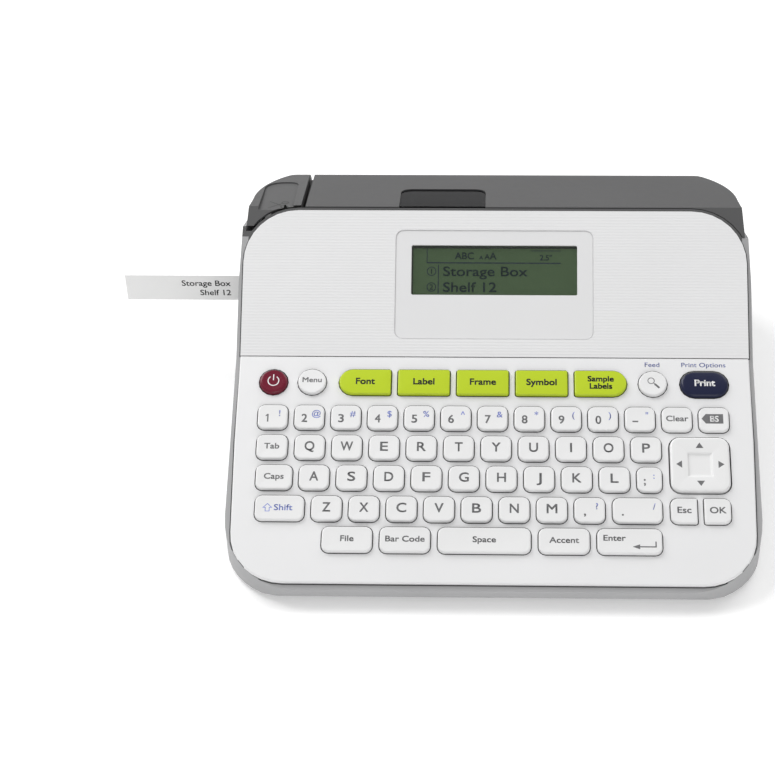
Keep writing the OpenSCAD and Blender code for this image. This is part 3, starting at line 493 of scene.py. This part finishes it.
class Ink:
    """Flat marks in the X and Y of a surface, laid on it as one thin printed piece."""

    def __init__(self):
        self.bm = bmesh.new()

    def shape(self, points):
        self.bm.faces.new([self.bm.verts.new((p[0], p[1], 0)) for p in points])

    def stroke(self, points, width, closed=False):
        """A line of this width through the points, with mitred turns."""
        points = [Vector(p[:2]) for p in points]
        count = len(points)
        sides = []
        for i, p in enumerate(points):
            before = points[i - 1] if i or closed else None
            after = points[(i + 1) % count] if i < count - 1 or closed else None
            along = []
            if before is not None:
                along.append((p - before).normalized())
            if after is not None:
                along.append((after - p).normalized())
            heading = sum(along, Vector((0, 0))).normalized()
            normal = Vector((-heading.y, heading.x))
            stretch = 1 / max(0.4, abs(heading.dot(along[0])))
            sides.append((p + normal * width / 2 * stretch, p - normal * width / 2 * stretch))
        rows = [[self.bm.verts.new((q.x, q.y, 0)) for q in pair] for pair in sides]
        for i in range(count if closed else count - 1):
            a, b = rows[i], rows[(i + 1) % count]
            self.bm.faces.new((a[1], b[1], b[0], a[0]))

    def ring(self, at, radius, width, start=0, stop=360, steps=28):
        """A circle, or the part of it from start to stop degrees."""
        whole = stop - start >= 360
        count = steps if whole else steps + 1
        angles = [math.radians(start + (stop - start) * i / steps) for i in range(count)]
        self.stroke(circle(at, radius, angles), width, whole)

    def words(self, text, at, cap, bold=0.0, align="CENTER", wide=1.0, fit=0.0):
        """Plain lettering about the point at, which lies halfway up its capitals.

        align says which end or the middle is there, bold thickens the strokes, and fit sets the whole width.
        """
        curve = bpy.data.curves.new("words", "FONT")
        curve.body = text
        curve.align_x = align
        curve.size = cap / CAP_HEIGHT
        curve.resolution_u = 4
        obj = bpy.data.objects.new("words", curve)
        bpy.context.scene.collection.objects.link(obj)
        bpy.context.view_layer.update()
        mesh = bpy.data.meshes.new_from_object(obj)
        middle = 0.0
        if fit:
            low, high = min(v.co.x for v in mesh.vertices), max(v.co.x for v in mesh.vertices)
            wide = fit / (high - low)
            middle = (low + high) / 2
        drawn = [v.co.copy() for v in mesh.vertices]
        steps = [(0, 0), (1, 1), (-1, 1), (1, -1), (-1, -1)] if bold else [(0, 0)]
        shift = bold * 0.8
        for right, up in steps:
            for vert, co in zip(mesh.vertices, drawn):
                across = at[0] + (co.x - middle) * wide + right * shift
                vert.co = (across, at[1] - cap / 2 + co.y + up * shift, 0)
            self.bm.from_mesh(mesh)
        bpy.data.objects.remove(obj)
        bpy.data.meshes.remove(mesh)

    def laid(self, name, body, matrix, look, on=None, level=0.0, lift=0.012 * MM):
        """Drops the marks on the tree `on`, or on the flat height level, as a film of twice lift."""
        bm = self.bm
        bmesh.ops.remove_doubles(bm, verts=bm.verts, dist=0.0005 * MM)
        if on:
            longest = 1.2 * MM
            for _ in range(3):
                edges = [e for e in bm.edges if e.calc_length() > longest]
                if not edges:
                    break
                bmesh.ops.subdivide_edges(bm, edges=edges, cuts=1)
            bmesh.ops.triangulate(bm, faces=bm.faces)
        for vert in bm.verts:
            hit = drop(on, vert.co) if on else None
            vert.co.z = (hit.z if hit else level) + lift
        bm.normal_update()
        for face in bm.faces:
            if face.normal.z < 0:
                face.normal_flip()
        bm.transform(matrix)
        obj = piece(name, bm, body, look)
        film = obj.modifiers.new("film", "SOLIDIFY")
        film.thickness = 2 * lift
        film.offset = -1.0
        return obj


def mark_keys(node, caps, tree, look, draw, tag=""):
    """Prints on each key of a node: draw(ink, cap, i) puts the marks of key i on it."""
    marks = Ink()
    for i, cap in enumerate(caps):
        draw(marks, cap, i)
    body = body_of_node[node]
    marks.laid("print" + tag + "_" + node, body, deck, look, on=tree)


def word_key(node, text, cap_height, look=GREY_INK, bold=0.08, lift_up=0.15,
             edge=0.5, dish=0.14, wide=1.16):
    """A key with a word on it, or with one word to a line; measures in mm."""
    caps, tree = make_keys(node, edge, dish)
    lines = text.split("\n")

    def draw(marks, cap, i):
        for k, line in enumerate(lines):
            up = ((len(lines) - 1) / 2 - k) * cap_height * LINE_PITCH
            at = (cap.at.x, cap.at.y + (lift_up + up) * MM)
            marks.words(line, at, cap_height * MM, bold * MM, wide=wide)

    mark_keys(node, caps, tree, look, draw)


# Heights of the capitals, in mm, and the step from line to line in those heights
LETTER = 3.45
DIGIT = 3.1
WORD = 2.1
LINE_PITCH = 1.4
# Widths of legends in cap heights, as in a plain sans serif
LETTER_WIDTHS = (
    ("W", 1.25), ("M", 1.05), ("OQCG", 0.98), ("EFLTSPZ", 0.78),
    ("J", 0.5), ("I", 0.16), ("-", 0.62), (".,;:", 0.18),
)


def width_of(letter):
    """Width of a legend in cap heights; what the list leaves out is as wide as most letters or digits."""
    for letters, width in LETTER_WIDTHS:
        if letter in letters:
            return width
    return 0.62 if letter.isdigit() else 0.88


def letter_row(node, letters, shifted=""):
    """A row of keys; where a key has a shifted sign, that is blue at its upper right."""
    caps, tree = make_keys(node)

    def main(marks, cap, i):
        x, y, size = cap.at.x, cap.at.y + 0.25 * MM, LETTER * MM
        if shifted and shifted[i] != " ":
            wide_key = cap.width >= 13 * MM
            x -= 5.2 * MM if wide_key else 1.7 * MM
            y, size = cap.at.y - 0.6 * MM, DIGIT * MM
        if letters[i] == "1":
            marks.stroke([(x - size * 0.24, y + size * 0.24), (x, y + size * 0.45)], 0.42 * MM)
            marks.stroke([(x, y + size * 0.5), (x, y - size * 0.5)], 0.5 * MM)
        else:
            marks.words(letters[i], (x, y), size, 0.09 * MM, fit=width_of(letters[i]) * size)

    def second(marks, cap, i):
        if shifted[i] != " ":
            at = (cap.at.x + cap.width / 2 - 2.9 * MM, cap.at.y + 1.3 * MM)
            marks.words(shifted[i], at, 2.3 * MM, 0.04 * MM)

    mark_keys(node, caps, tree, GREY_INK, main)
    if shifted.strip():
        mark_keys(node, caps, tree, BLUE_INK, second, "_shifted")


PLAIN_KEYS = (
    ("key_clear", "Clear", WORD), ("key_tab", "Tab", WORD), ("key_caps", "Caps", WORD),
    ("key_file", "File", WORD), ("key_barcode", "Bar Code", WORD), ("key_space", "Space", WORD),
    ("key_accent", "Accent", WORD), ("key_esc", "Esc", WORD * 1.1), ("key_ok", "OK", WORD * 1.1),
)
LIME_KEYS = (
    ("key_font", "Font", 2.4), ("key_label", "Label", 2.4), ("key_frame", "Frame", 2.4),
    ("key_symbol", "Symbol", 2.4), ("key_sample", "Sample\nLabels", 2.1),
)


def make_keyboard():
    """Every key with its legend, row by row and then the keys with a shape or a mark of their own."""
    letter_row("keys_number_row", "1234567890-", "!@#$%^&*()\"")
    letter_row("keys_qwerty_row", "QWERTYUIOP")
    letter_row("keys_asdf_row", "ASDFGHJKL;", "         :")
    letter_row("keys_zxcv_row", "ZXCVBNM,.", "       ?/")
    for node, text, tall in PLAIN_KEYS:
        word_key(node, text, tall)
    word_key("key_menu", "Menu", 1.9, lift_up=0.5)
    for node, text, tall in LIME_KEYS:
        word_key(node, text, tall, DARK_INK, 0.13, 0.0, edge=0.4, dish=-0.12, wide=1.08)
    word_key("key_print", "Print", 2.4, WHITE_INK, 0.13, 0.0, edge=1.3, dish=-0.25, wide=1.08)
    make_shift()
    make_enter()
    make_backspace()
    make_power()
    make_preview()
    make_pad()


def make_shift():
    """Shift key: an outlined arrow and the word, in blue."""
    caps, tree = make_keys("key_shift")

    def draw(marks, cap, i):
        marks.words("Shift", (cap.at.x + 1.3 * MM, cap.at.y), 2.2 * MM, 0.07 * MM, wide=1.16)
        x, y = cap.at.x - 4.2 * MM, cap.at.y - 0.1 * MM
        arrow = [(0, 1.5), (1.5, 0), (0.7, 0), (0.7, -1.4), (-0.7, -1.4), (-0.7, 0), (-1.5, 0)]
        marks.stroke([(x + a * MM, y + b * MM) for a, b in arrow], 0.26 * MM, True)

    mark_keys("key_shift", caps, tree, BLUE_INK, draw)


def make_enter():
    """Enter key: the word, and beside it an arrow that turns back to the left."""
    caps, tree = make_keys("key_enter")

    def draw(marks, cap, i):
        marks.words("Enter", (cap.at.x - 5.4 * MM, cap.at.y + 1.1 * MM), WORD * MM, 0.08 * MM, wide=1.16)
        x, y = cap.at.x, cap.at.y
        low, right = y - 2.2 * MM, x + 9.0 * MM
        marks.stroke([(right, y - 0.2 * MM), (right, low), (x + 3.0 * MM, low)], 0.46 * MM)
        tip = x + 0.9 * MM
        marks.shape([(tip, low), (tip + 2.6 * MM, low - 0.95 * MM), (tip + 2.6 * MM, low + 0.95 * MM)])

    mark_keys("key_enter", caps, tree, GREY_INK, draw)


def make_backspace():
    """Backspace key: a tag that points left, with white letters on it."""
    caps, tree = make_keys("key_backspace")

    def tag(marks, cap, i):
        x, y = cap.at.x + 0.2 * MM, cap.at.y + 0.1 * MM
        half, high, nose = 3.1 * MM, 1.9 * MM, 1.5 * MM
        marks.shape([(x - half - nose, y), (x - half, y - high), (x + half, y - high), (x + half, y + high),
                     (x - half, y + high)])

    mark_keys("key_backspace", caps, tree, GREY_INK, tag)
    letters = Ink()
    at = caps[0].at
    letters.words("BS", (at.x + 0.1 * MM, at.y + 0.1 * MM), 2.2 * MM, 0.08 * MM)
    letters.laid("print_letters_key_backspace", "key_backspace", deck, WHITE_INK, on=tree, lift=0.04 * MM)


def make_power():
    """Power key: a ring that is open at the top, and a bar in the opening."""
    caps, tree = make_keys("key_power", 1.0, 0.1)

    def draw(marks, cap, i):
        marks.ring(cap.at, 1.95 * MM, 0.36 * MM, 125, 415)
        marks.stroke([(cap.at.x, cap.at.y + 0.2 * MM), (cap.at.x, cap.at.y + 2.6 * MM)], 0.36 * MM)

    mark_keys("key_power", caps, tree, WHITE_INK, draw)


def make_preview():
    """Preview key: a magnifier."""
    caps, tree = make_keys("key_preview")

    def draw(marks, cap, i):
        x, y = cap.at.x - 0.6 * MM, cap.at.y + 0.9 * MM
        marks.ring((x, y), 1.15 * MM, 0.3 * MM)
        marks.stroke([(x + 0.9 * MM, y - 0.9 * MM), (x + 1.4 * MM, y - 1.4 * MM)], 0.3 * MM)
        marks.stroke([(x + 1.3 * MM, y - 1.3 * MM), (x + 2.9 * MM, y - 2.9 * MM)], 0.75 * MM)

    mark_keys("key_preview", caps, tree, GREY_INK, draw)


PAD_FLANGE = 0.5 * MM
PAD_FLANGE_LOW = -4.1 * MM
PAD_FLANGE_TOP = -3.4 * MM
# The pad's face in mm: how far in from its edge, and how far down there
PAD_FACE = (
    (1.6, 0.02), (3.0, 0.1), (4.6, 0.2), (5.9, 0.28), (6.25, 0.34),
    (6.45, 0.5), (6.55, 0.72), (6.75, 0.86), (7.4, 0.9), (9.0, 0.9),
)


def make_pad():
    """Direction pad: a square rim of four arrows that slopes to a sunk middle."""
    cap = Cap(islands("dpad", deck)[0])
    rings = [cap.ring(-PAD_FLANGE, PAD_FLANGE_LOW), cap.ring(-PAD_FLANGE, PAD_FLANGE_TOP)]
    rings += [cap.ring(0, PAD_FLANGE_TOP)]
    rings += rolled_edge(cap, 0.9 * MM, 5)
    rings += [cap.ring(inset * MM, cap.top - down * MM) for inset, down in PAD_FACE]
    bm = bmesh.new()
    ring_solid(bm, rings)
    bmesh.ops.remove_doubles(bm, verts=bm.verts, dist=0.002 * MM)
    tree = BVHTree.FromBMesh(bm)
    shade(bm, 50)
    bm.transform(deck)
    obj = piece("look_dpad", bm, "dpad", LOOKS["key_white"])
    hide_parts("dpad")
    marks = Ink()
    out, half, tall = 8.5 * MM, 1.4 * MM, 2.1 * MM
    for turn in range(4):
        a = math.radians(90 * turn)
        cos, sin = math.cos(a), math.sin(a)
        points = [(-half, out - tall), (half, out - tall), (0, out)]
        marks.shape([(cap.at.x + x * cos - y * sin, cap.at.y + x * sin + y * cos) for x, y in points])
    marks.laid("print_dpad", "dpad", deck, GREY_INK, on=tree)


# ------------------------------------------------------------------ case

def on_top(matrix, margin=0.03 * MM):
    """Picks edges that lie on a sloping frame's own plane."""
    back = matrix.inverted()

    def wanted(middle, normals):
        return abs((back @ middle).z) < margin

    return wanted


# How far out the key openings reach at most, on either side of the middle
OPENINGS_REACH = 88 * MM


def on_rim(middle, normals):
    """Picks edges near the keyboard panel's own outline, outside its key openings."""
    at = deck.inverted() @ middle
    return abs(at.x) > OPENINGS_REACH or at.y < 8 * MM


def upward(middle, normals):
    """Picks edges of faces that look up."""
    return max(n.z for n in normals) > 0.3


def darken_openings(obj):
    """The walls of the deck's key openings lie in shade: dark below their rounded upper edge."""
    obj.data.materials.append(PAINTED_GAP_SHADE)
    back = deck.inverted()
    turn = back.to_3x3()
    for face in obj.data.polygons:
        centre = back @ face.center
        inside = abs(centre.x) < OPENINGS_REACH and centre.y > 5 * MM
        upright = abs((turn @ face.normal).z) < 0.3
        if inside and upright and centre.z < -0.25 * MM:
            face.material_index = 1


def darken_rim(obj):
    """The rim round the display panel's upper part is the cover's grey, as the cover meets it."""
    obj.data.materials.append(LOOKS["lever_grey"])
    back = display.inverted()
    turn = back.to_3x3()
    upper_part = 26 * MM
    for face in obj.data.polygons:
        centre = back @ face.center
        beside_panel = centre.y > upper_part and -3 * MM < centre.z < 0.2 * MM
        if beside_panel and (turn @ face.normal).z > 0.5:
            face.material_index = 1


def top_outline(node, matrix, level=0.0):
    """The outer outline of a node's face at this height in a sloping frame, as points in order."""
    back = matrix.inverted()
    bm = welded(node)
    bm.transform(back)
    bm.normal_update()
    tops = [f for f in bm.faces if f.normal.z > 0.99 and abs(f.calc_center_median().z - level) < 0.05 * MM]
    rim = {e for f in tops for e in f.edges if sum(g in tops for g in e.link_faces) == 1}
    start = min((v for e in rim for v in e.verts), key=lambda v: (round(v.co.x, 5), v.co.y))
    points, here, edge = [], start, None
    while True:
        points.append(here.co.to_2d())
        edge = next(e for e in here.link_edges if e in rim and e is not edge)
        rim.discard(edge)
        here = edge.other_vert(here)
        if here is start or not any(e in rim for e in here.link_edges):
            break
    bm.free()
    return points


def grown(points, by):
    """A closed outline moved outwards."""
    area = sum(a.x * b.y - b.x * a.y for a, b in zip(points, points[1:] + points[:1]))
    side = 1 if area > 0 else -1
    moved = []
    for i, p in enumerate(points):
        along = (points[(i + 1) % len(points)] - points[i - 1]).normalized()
        moved.append(p + Vector((along.y, -along.x)) * side * by)
    return moved


def make_seam(name, node, matrix, width):
    """A painted shade along the seam round a white panel: a dark strip lying on the case beside it."""
    bm = bmesh.new()
    bm.from_mesh(bpy.data.objects["look_base_case"].data)
    bm.transform(matrix.inverted())
    tree = BVHTree.FromBMesh(bm)
    bm.free()
    outline = top_outline(node, matrix)
    inner, outer = grown(outline, 0.02 * MM), grown(outline, width)
    marks = Ink()
    longest = 2 * MM
    count = len(outline)
    for i in range(count):
        j = (i + 1) % count
        parts = max(1, int((outline[j] - outline[i]).length / longest))
        for k in range(parts):
            start, stop = k / parts, (k + 1) / parts
            quad = [inner[i].lerp(inner[j], start), inner[i].lerp(inner[j], stop),
                    outer[i].lerp(outer[j], stop), outer[i].lerp(outer[j], start)]
            hits = [drop(tree, q) for q in quad]
            if all(h and -2.5 * MM < h.z < 0.4 * MM for h in hits):
                marks.shape(quad)
    marks.laid(name, "case", matrix, PAINTED_SEAM_SHADE, on=tree, lift=0.02 * MM)


def make_groove():
    """The shallow floor of the groove round the display's bezel."""
    bezel_face, floor = -0.25 * MM, -0.33 * MM
    outline = top_outline("display_bezel", display, bezel_face)
    inner, outer = grown(outline, 0.01 * MM), grown(outline, 0.19 * MM)
    marks = Ink()
    for i in range(len(outline)):
        j = (i + 1) % len(outline)
        marks.shape([inner[i], inner[j], outer[j], outer[i]])
    marks.laid("groove_bezel", "case", display, LOOKS["white_panel"], level=floor)


def make_case():
    """The case and its covers with rounded edges; returns the lever, which is marked later."""
    top = on_top(deck)
    darken_openings(refined("keyboard_deck", [
        (0.55, 3, lambda m, n: top(m, n) and on_rim(m, n)),
        (0.22, 2, lambda m, n: top(m, n) and not on_rim(m, n)),
    ]))
    refined("display_cover", [(0.4, 3, on_top(display))], PANEL)
    refined("display_bezel", [(0.25, 2, everywhere)])
    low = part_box("base_case")[0].z + 0.5 * MM
    base = refined("base_case", [(0.35, 2, lambda m, n: m.z > low and min(v.z for v in n) > -0.4)])
    darken_rim(base)
    refined("tape_cover", [(0.45, 3, upward)])
    lever = refined("cutter_lever", [(0.45, 4, upward)])
    refined("battery_cover", [(0.3, 2, everywhere)])
    refined("tape_cassette", [(0.4, 2, everywhere)])
    refined("cassette_cover", [(0.3, 2, everywhere)])
    make_seam("seam_display", "display_cover", display, 0.5 * MM)
    make_seam("seam_deck", "keyboard_deck", deck, 0.45 * MM)
    make_groove()
    return lever


# ------------------------------------------------------------------ display

LABEL_TEXT = ("Storage Box", "Shelf 12")


def make_screen():
    """Liquid crystal under its window: generic text, cut into pixels by a fine grid."""
    window = [display.inverted() @ v.co for v in nodes["display_window"].data.vertices]
    x0, x1 = min(p.x for p in window), max(p.x for p in window)
    y0, y1 = min(p.y for p in window), max(p.y for p in window)
    under = min(p.z for p in window)
    panel = [display.inverted() @ v.co for v in nodes["lcd_panel"].data.vertices]
    face = max(p.z for p in panel if p.z < under)
    marks = Ink()
    left, right, top = x0 + 6.2 * MM, x1 - 6 * MM, y1
    shadow_band = 0.9 * MM
    bar, rule, divider, length_line = left - 0.6 * MM, top - 6.4 * MM, left + 3.6 * MM, top - 1.7 * MM
    marks.stroke([(bar, top - shadow_band), (bar, rule)], 0.3 * MM)
    marks.stroke([(bar, rule), (right, rule)], 0.42 * MM)
    marks.stroke([(divider, top - 7.2 * MM), (divider, y0 + 0.7 * MM)], 0.3 * MM)
    marks.stroke([(x1 - 17 * MM, length_line), (right, length_line)], 0.26 * MM)
    marks.words("ABC", (left + 13.2 * MM, top - 3.7 * MM), 2.5 * MM, 0.07 * MM)
    for i, tall in enumerate((1.3, 1.9, 2.5)):
        marks.words("A", (left + (19.3 + 2.2 * i) * MM, top - (4.95 - tall / 2) * MM), tall * MM, 0.06 * MM)
    marks.words("2.5\"", (x1 - 11.4 * MM, top - 4.3 * MM), 2.0 * MM, 0.06 * MM)
    for line, (text, down) in enumerate(zip(LABEL_TEXT, (9.6, 15.6))):
        at = top - down * MM
        marks.words(text, (left + 5.2 * MM, at), 3.5 * MM, 0.08 * MM, "LEFT", 1.22)
        number = (left + 1.1 * MM, at)
        marks.ring(number, 1.6 * MM, 0.28 * MM)
        marks.words(str(line + 1), number, 1.9 * MM, 0.05 * MM)
    marks.laid("screen_text", "case", display, LCD_INK, level=face)
    # A painted shadow of the bezel: a dark band along the window's top and left edges
    strips = Ink()
    below, beside = y1 - shadow_band, x0 + 0.5 * MM
    strips.shape([(x0, below), (x1, below), (x1, y1), (x0, y1)])
    strips.shape([(x0, y0), (beside, y0), (beside, below), (x0, below)])
    strips.laid("screen_painted_shadow", "case", display, LCD_PAINTED_SHADOW, level=face, lift=0.045 * MM)
    grid = Ink()
    pitch, gap = 0.44 * MM, 0.04 * MM
    for i in range(int((x1 - x0) / pitch)):
        x = x0 + 0.3 * MM + i * pitch
        grid.shape([(x, y0), (x + gap, y0), (x + gap, y1), (x, y1)])
    for i in range(int((y1 - y0) / pitch)):
        y = y0 + 0.2 * MM + i * pitch
        grid.shape([(x0, y), (x1, y), (x1, y + gap), (x0, y + gap)])
    grid.laid("screen_grid", "case", display, LCD_LINE, level=face, lift=0.03 * MM)


def print_hints():
    """Blue hints above two keys, on the display panel's lower edge."""
    marks = Ink()
    up_slope = 86.2 * MM
    for node, text in (("key_preview", "Feed"), ("key_print", "Print Options")):
        x = Cap(islands(node, deck)[0]).at.x
        marks.words(text, (x, up_slope), 1.75 * MM, 0.03 * MM, wide=1.14)
    marks.laid("print_hints", "case", deck, BLUE_INK)


# ------------------------------------------------------------------ label, lever and inside

def make_label():
    """The printed label that stands out of the slot, its lettering on the side that faces front."""
    low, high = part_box("label_tape")
    stand = Matrix.Translation((0, low.y, low.z)) @ Matrix.Rotation(math.radians(90), 4, "X")
    marks = Ink()
    middle = (high.z - low.z) / 2
    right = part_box("base_case")[0].x - 7.5 * MM
    line_step = 4.6 * MM
    for line, text in enumerate(LABEL_TEXT):
        up = middle + (0.5 - line) * line_step
        marks.words(text, (right, up), 2.6 * MM, 0.05 * MM, "RIGHT")
    marks.laid("label_print", "label_tape", stand, BLACK_INK)


def coil_rise(share):
    """How high a coil has climbed, from 0 to 1, at this share of its wire: its end turns lie close."""
    end, climb = 0.1, 0.05
    if share < end:
        return climb * share / end
    if share < 1 - end:
        return climb + (1 - 2 * climb) * (share - end) / (1 - 2 * end)
    return 1 - climb + climb * (share - 1 + end) / end


def make_spring():
    """The cutter's return spring as a real coil, closed at both ends."""
    low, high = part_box("cutter_spring")
    wire = 0.35 * MM
    radius = (high.x - low.x) / 2 - wire
    centre = (low + high) / 2
    turns, per_turn = 8, 20
    curve = bpy.data.curves.new("look_cutter_spring", "CURVE")
    curve.dimensions = "3D"
    curve.bevel_depth = wire
    curve.bevel_resolution = 3
    curve.use_fill_caps = True
    spline = curve.splines.new("POLY")
    count = turns * per_turn
    spline.points.add(count)
    tall = high.z - low.z - 2 * wire
    for i in range(count + 1):
        a = 2 * math.pi * i / per_turn
        z = low.z + wire + tall * coil_rise(i / count)
        spline.points[i].co = (centre.x + radius * math.cos(a), centre.y + radius * math.sin(a), z, 1)
    holder = bpy.data.objects.new("coil", curve)
    bpy.context.scene.collection.objects.link(holder)
    bpy.context.view_layer.update()
    bm = bmesh.new()
    mesh = bpy.data.meshes.new_from_object(holder)
    bm.from_mesh(mesh)
    bpy.data.meshes.remove(mesh)
    bpy.data.objects.remove(holder)
    shade(bm, 60)
    obj = piece("look_cutter_spring", bm, "case", LOOKS["steel"])
    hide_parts("cutter_spring")
    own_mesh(obj)


def mark_lever(lever):
    """Scissors on the lever's finger hollow: handles on the right, open blades to the left."""
    bm = bmesh.new()
    bm.from_mesh(lever.data)
    bm.transform(cover.inverted())
    tree = BVHTree.FromBMesh(bm)
    bm.free()
    marks = Ink()
    at = Vector((-80.6 * MM, 5.4 * MM))
    for side in (-1, 1):
        marks.ring(at + Vector((2.2, 2.5 * side)) * MM, 1.2 * MM, 0.5 * MM)
        blade = [(1.4, 1.6 * side), (0.2, 0.2 * side), (-3.6, -3.7 * side)]
        marks.stroke([at + Vector(point) * MM for point in blade], 0.5 * MM)
    marks.laid("print_cutter_lever", "cutter_lever", cover, DARK_INK, on=tree)


# ------------------------------------------------------------------ build

lever = make_case()
make_keyboard()
make_screen()
print_hints()
make_label()
make_spring()
mark_lever(lever)
# What no piece stands for stays in sight as it is, in its own look
for node, obj in nodes.items():
    if not obj.hide_render:
        obj.data.materials.clear()
        obj.data.materials.append(LOOKS[slot_of_node[node]])


# ------------------------------------------------------------------ floor, light and camera

def make_floor():
    """A white floor that glows a little, so that it melts into the white background."""
    bm = bmesh.new()
    bmesh.ops.create_grid(bm, x_segments=2, y_segments=2, size=3.0)
    mesh = bpy.data.meshes.new("floor")
    bm.to_mesh(mesh)
    bm.free()
    floor = bpy.data.objects.new("floor", mesh)
    bpy.context.scene.collection.objects.link(floor)
    material, tree, principled = shader("floor")
    tree.links.new(tinted(tree, noise(tree, 3, 2), (0.9, 0.9, 0.9), 0.01), principled.inputs["Base Color"])
    principled.inputs["Roughness"].default_value = 0.8
    principled.inputs["Emission Color"].default_value = (1, 1, 1, 1)
    principled.inputs["Emission Strength"].default_value = 0.22
    mesh.materials.append(material)


def make_lights():
    """A bright white room, with a large lamp at the left and two weaker ones."""
    scene = bpy.context.scene
    world = bpy.data.worlds.new("studio")
    scene.world = world
    world.use_nodes = True
    background = world.node_tree.nodes["Background"]
    background.inputs["Color"].default_value = (1, 1, 1, 1)
    background.inputs["Strength"].default_value = 0.44
    scene.view_settings.view_transform = "Standard"
    target = Vector((0, 0, 0.03))
    for name, place, size, power in (
        ("key", (-0.75, 0.55, 0.95), 0.8, 12.5),
        ("top", (0.55, 0.75, 0.9), 0.8, 5.0),
        ("front", (0.2, -1.2, 0.5), 1.0, 5.0),
    ):
        lamp = bpy.data.lights.new(name, "AREA")
        lamp.size = size
        lamp.energy = power
        obj = bpy.data.objects.new(name, lamp)
        obj.location = place
        obj.rotation_euler = (target - Vector(place)).to_track_quat("-Z", "Y").to_euler()
        scene.collection.objects.link(obj)


def make_camera():
    """The photograph's view: a long lens in front of the label maker and above it."""
    data = bpy.data.cameras.new("camera")
    camera = bpy.data.objects.new("camera", data)
    bpy.context.scene.collection.objects.link(camera)
    data.sensor_width = 36
    data.lens = 97.18
    data.shift_x = -0.06
    data.clip_start = 0.01
    elevation, distance = math.radians(42), 0.76
    aim = Vector((0, -11.889 * MM, 31.6 * MM))
    camera.location = aim + distance * Vector((0, -math.cos(elevation), math.sin(elevation)))
    look = Matrix.Rotation(math.pi / 2 - elevation, 4, "X")
    yaw, roll = math.radians(1.63), math.radians(0.35)
    turn = look @ Matrix.Rotation(yaw, 4, "Y") @ Matrix.Rotation(roll, 4, "Z")
    camera.rotation_euler = turn.to_euler()
    bpy.context.scene.camera = camera


make_floor()
make_lights()
make_camera()
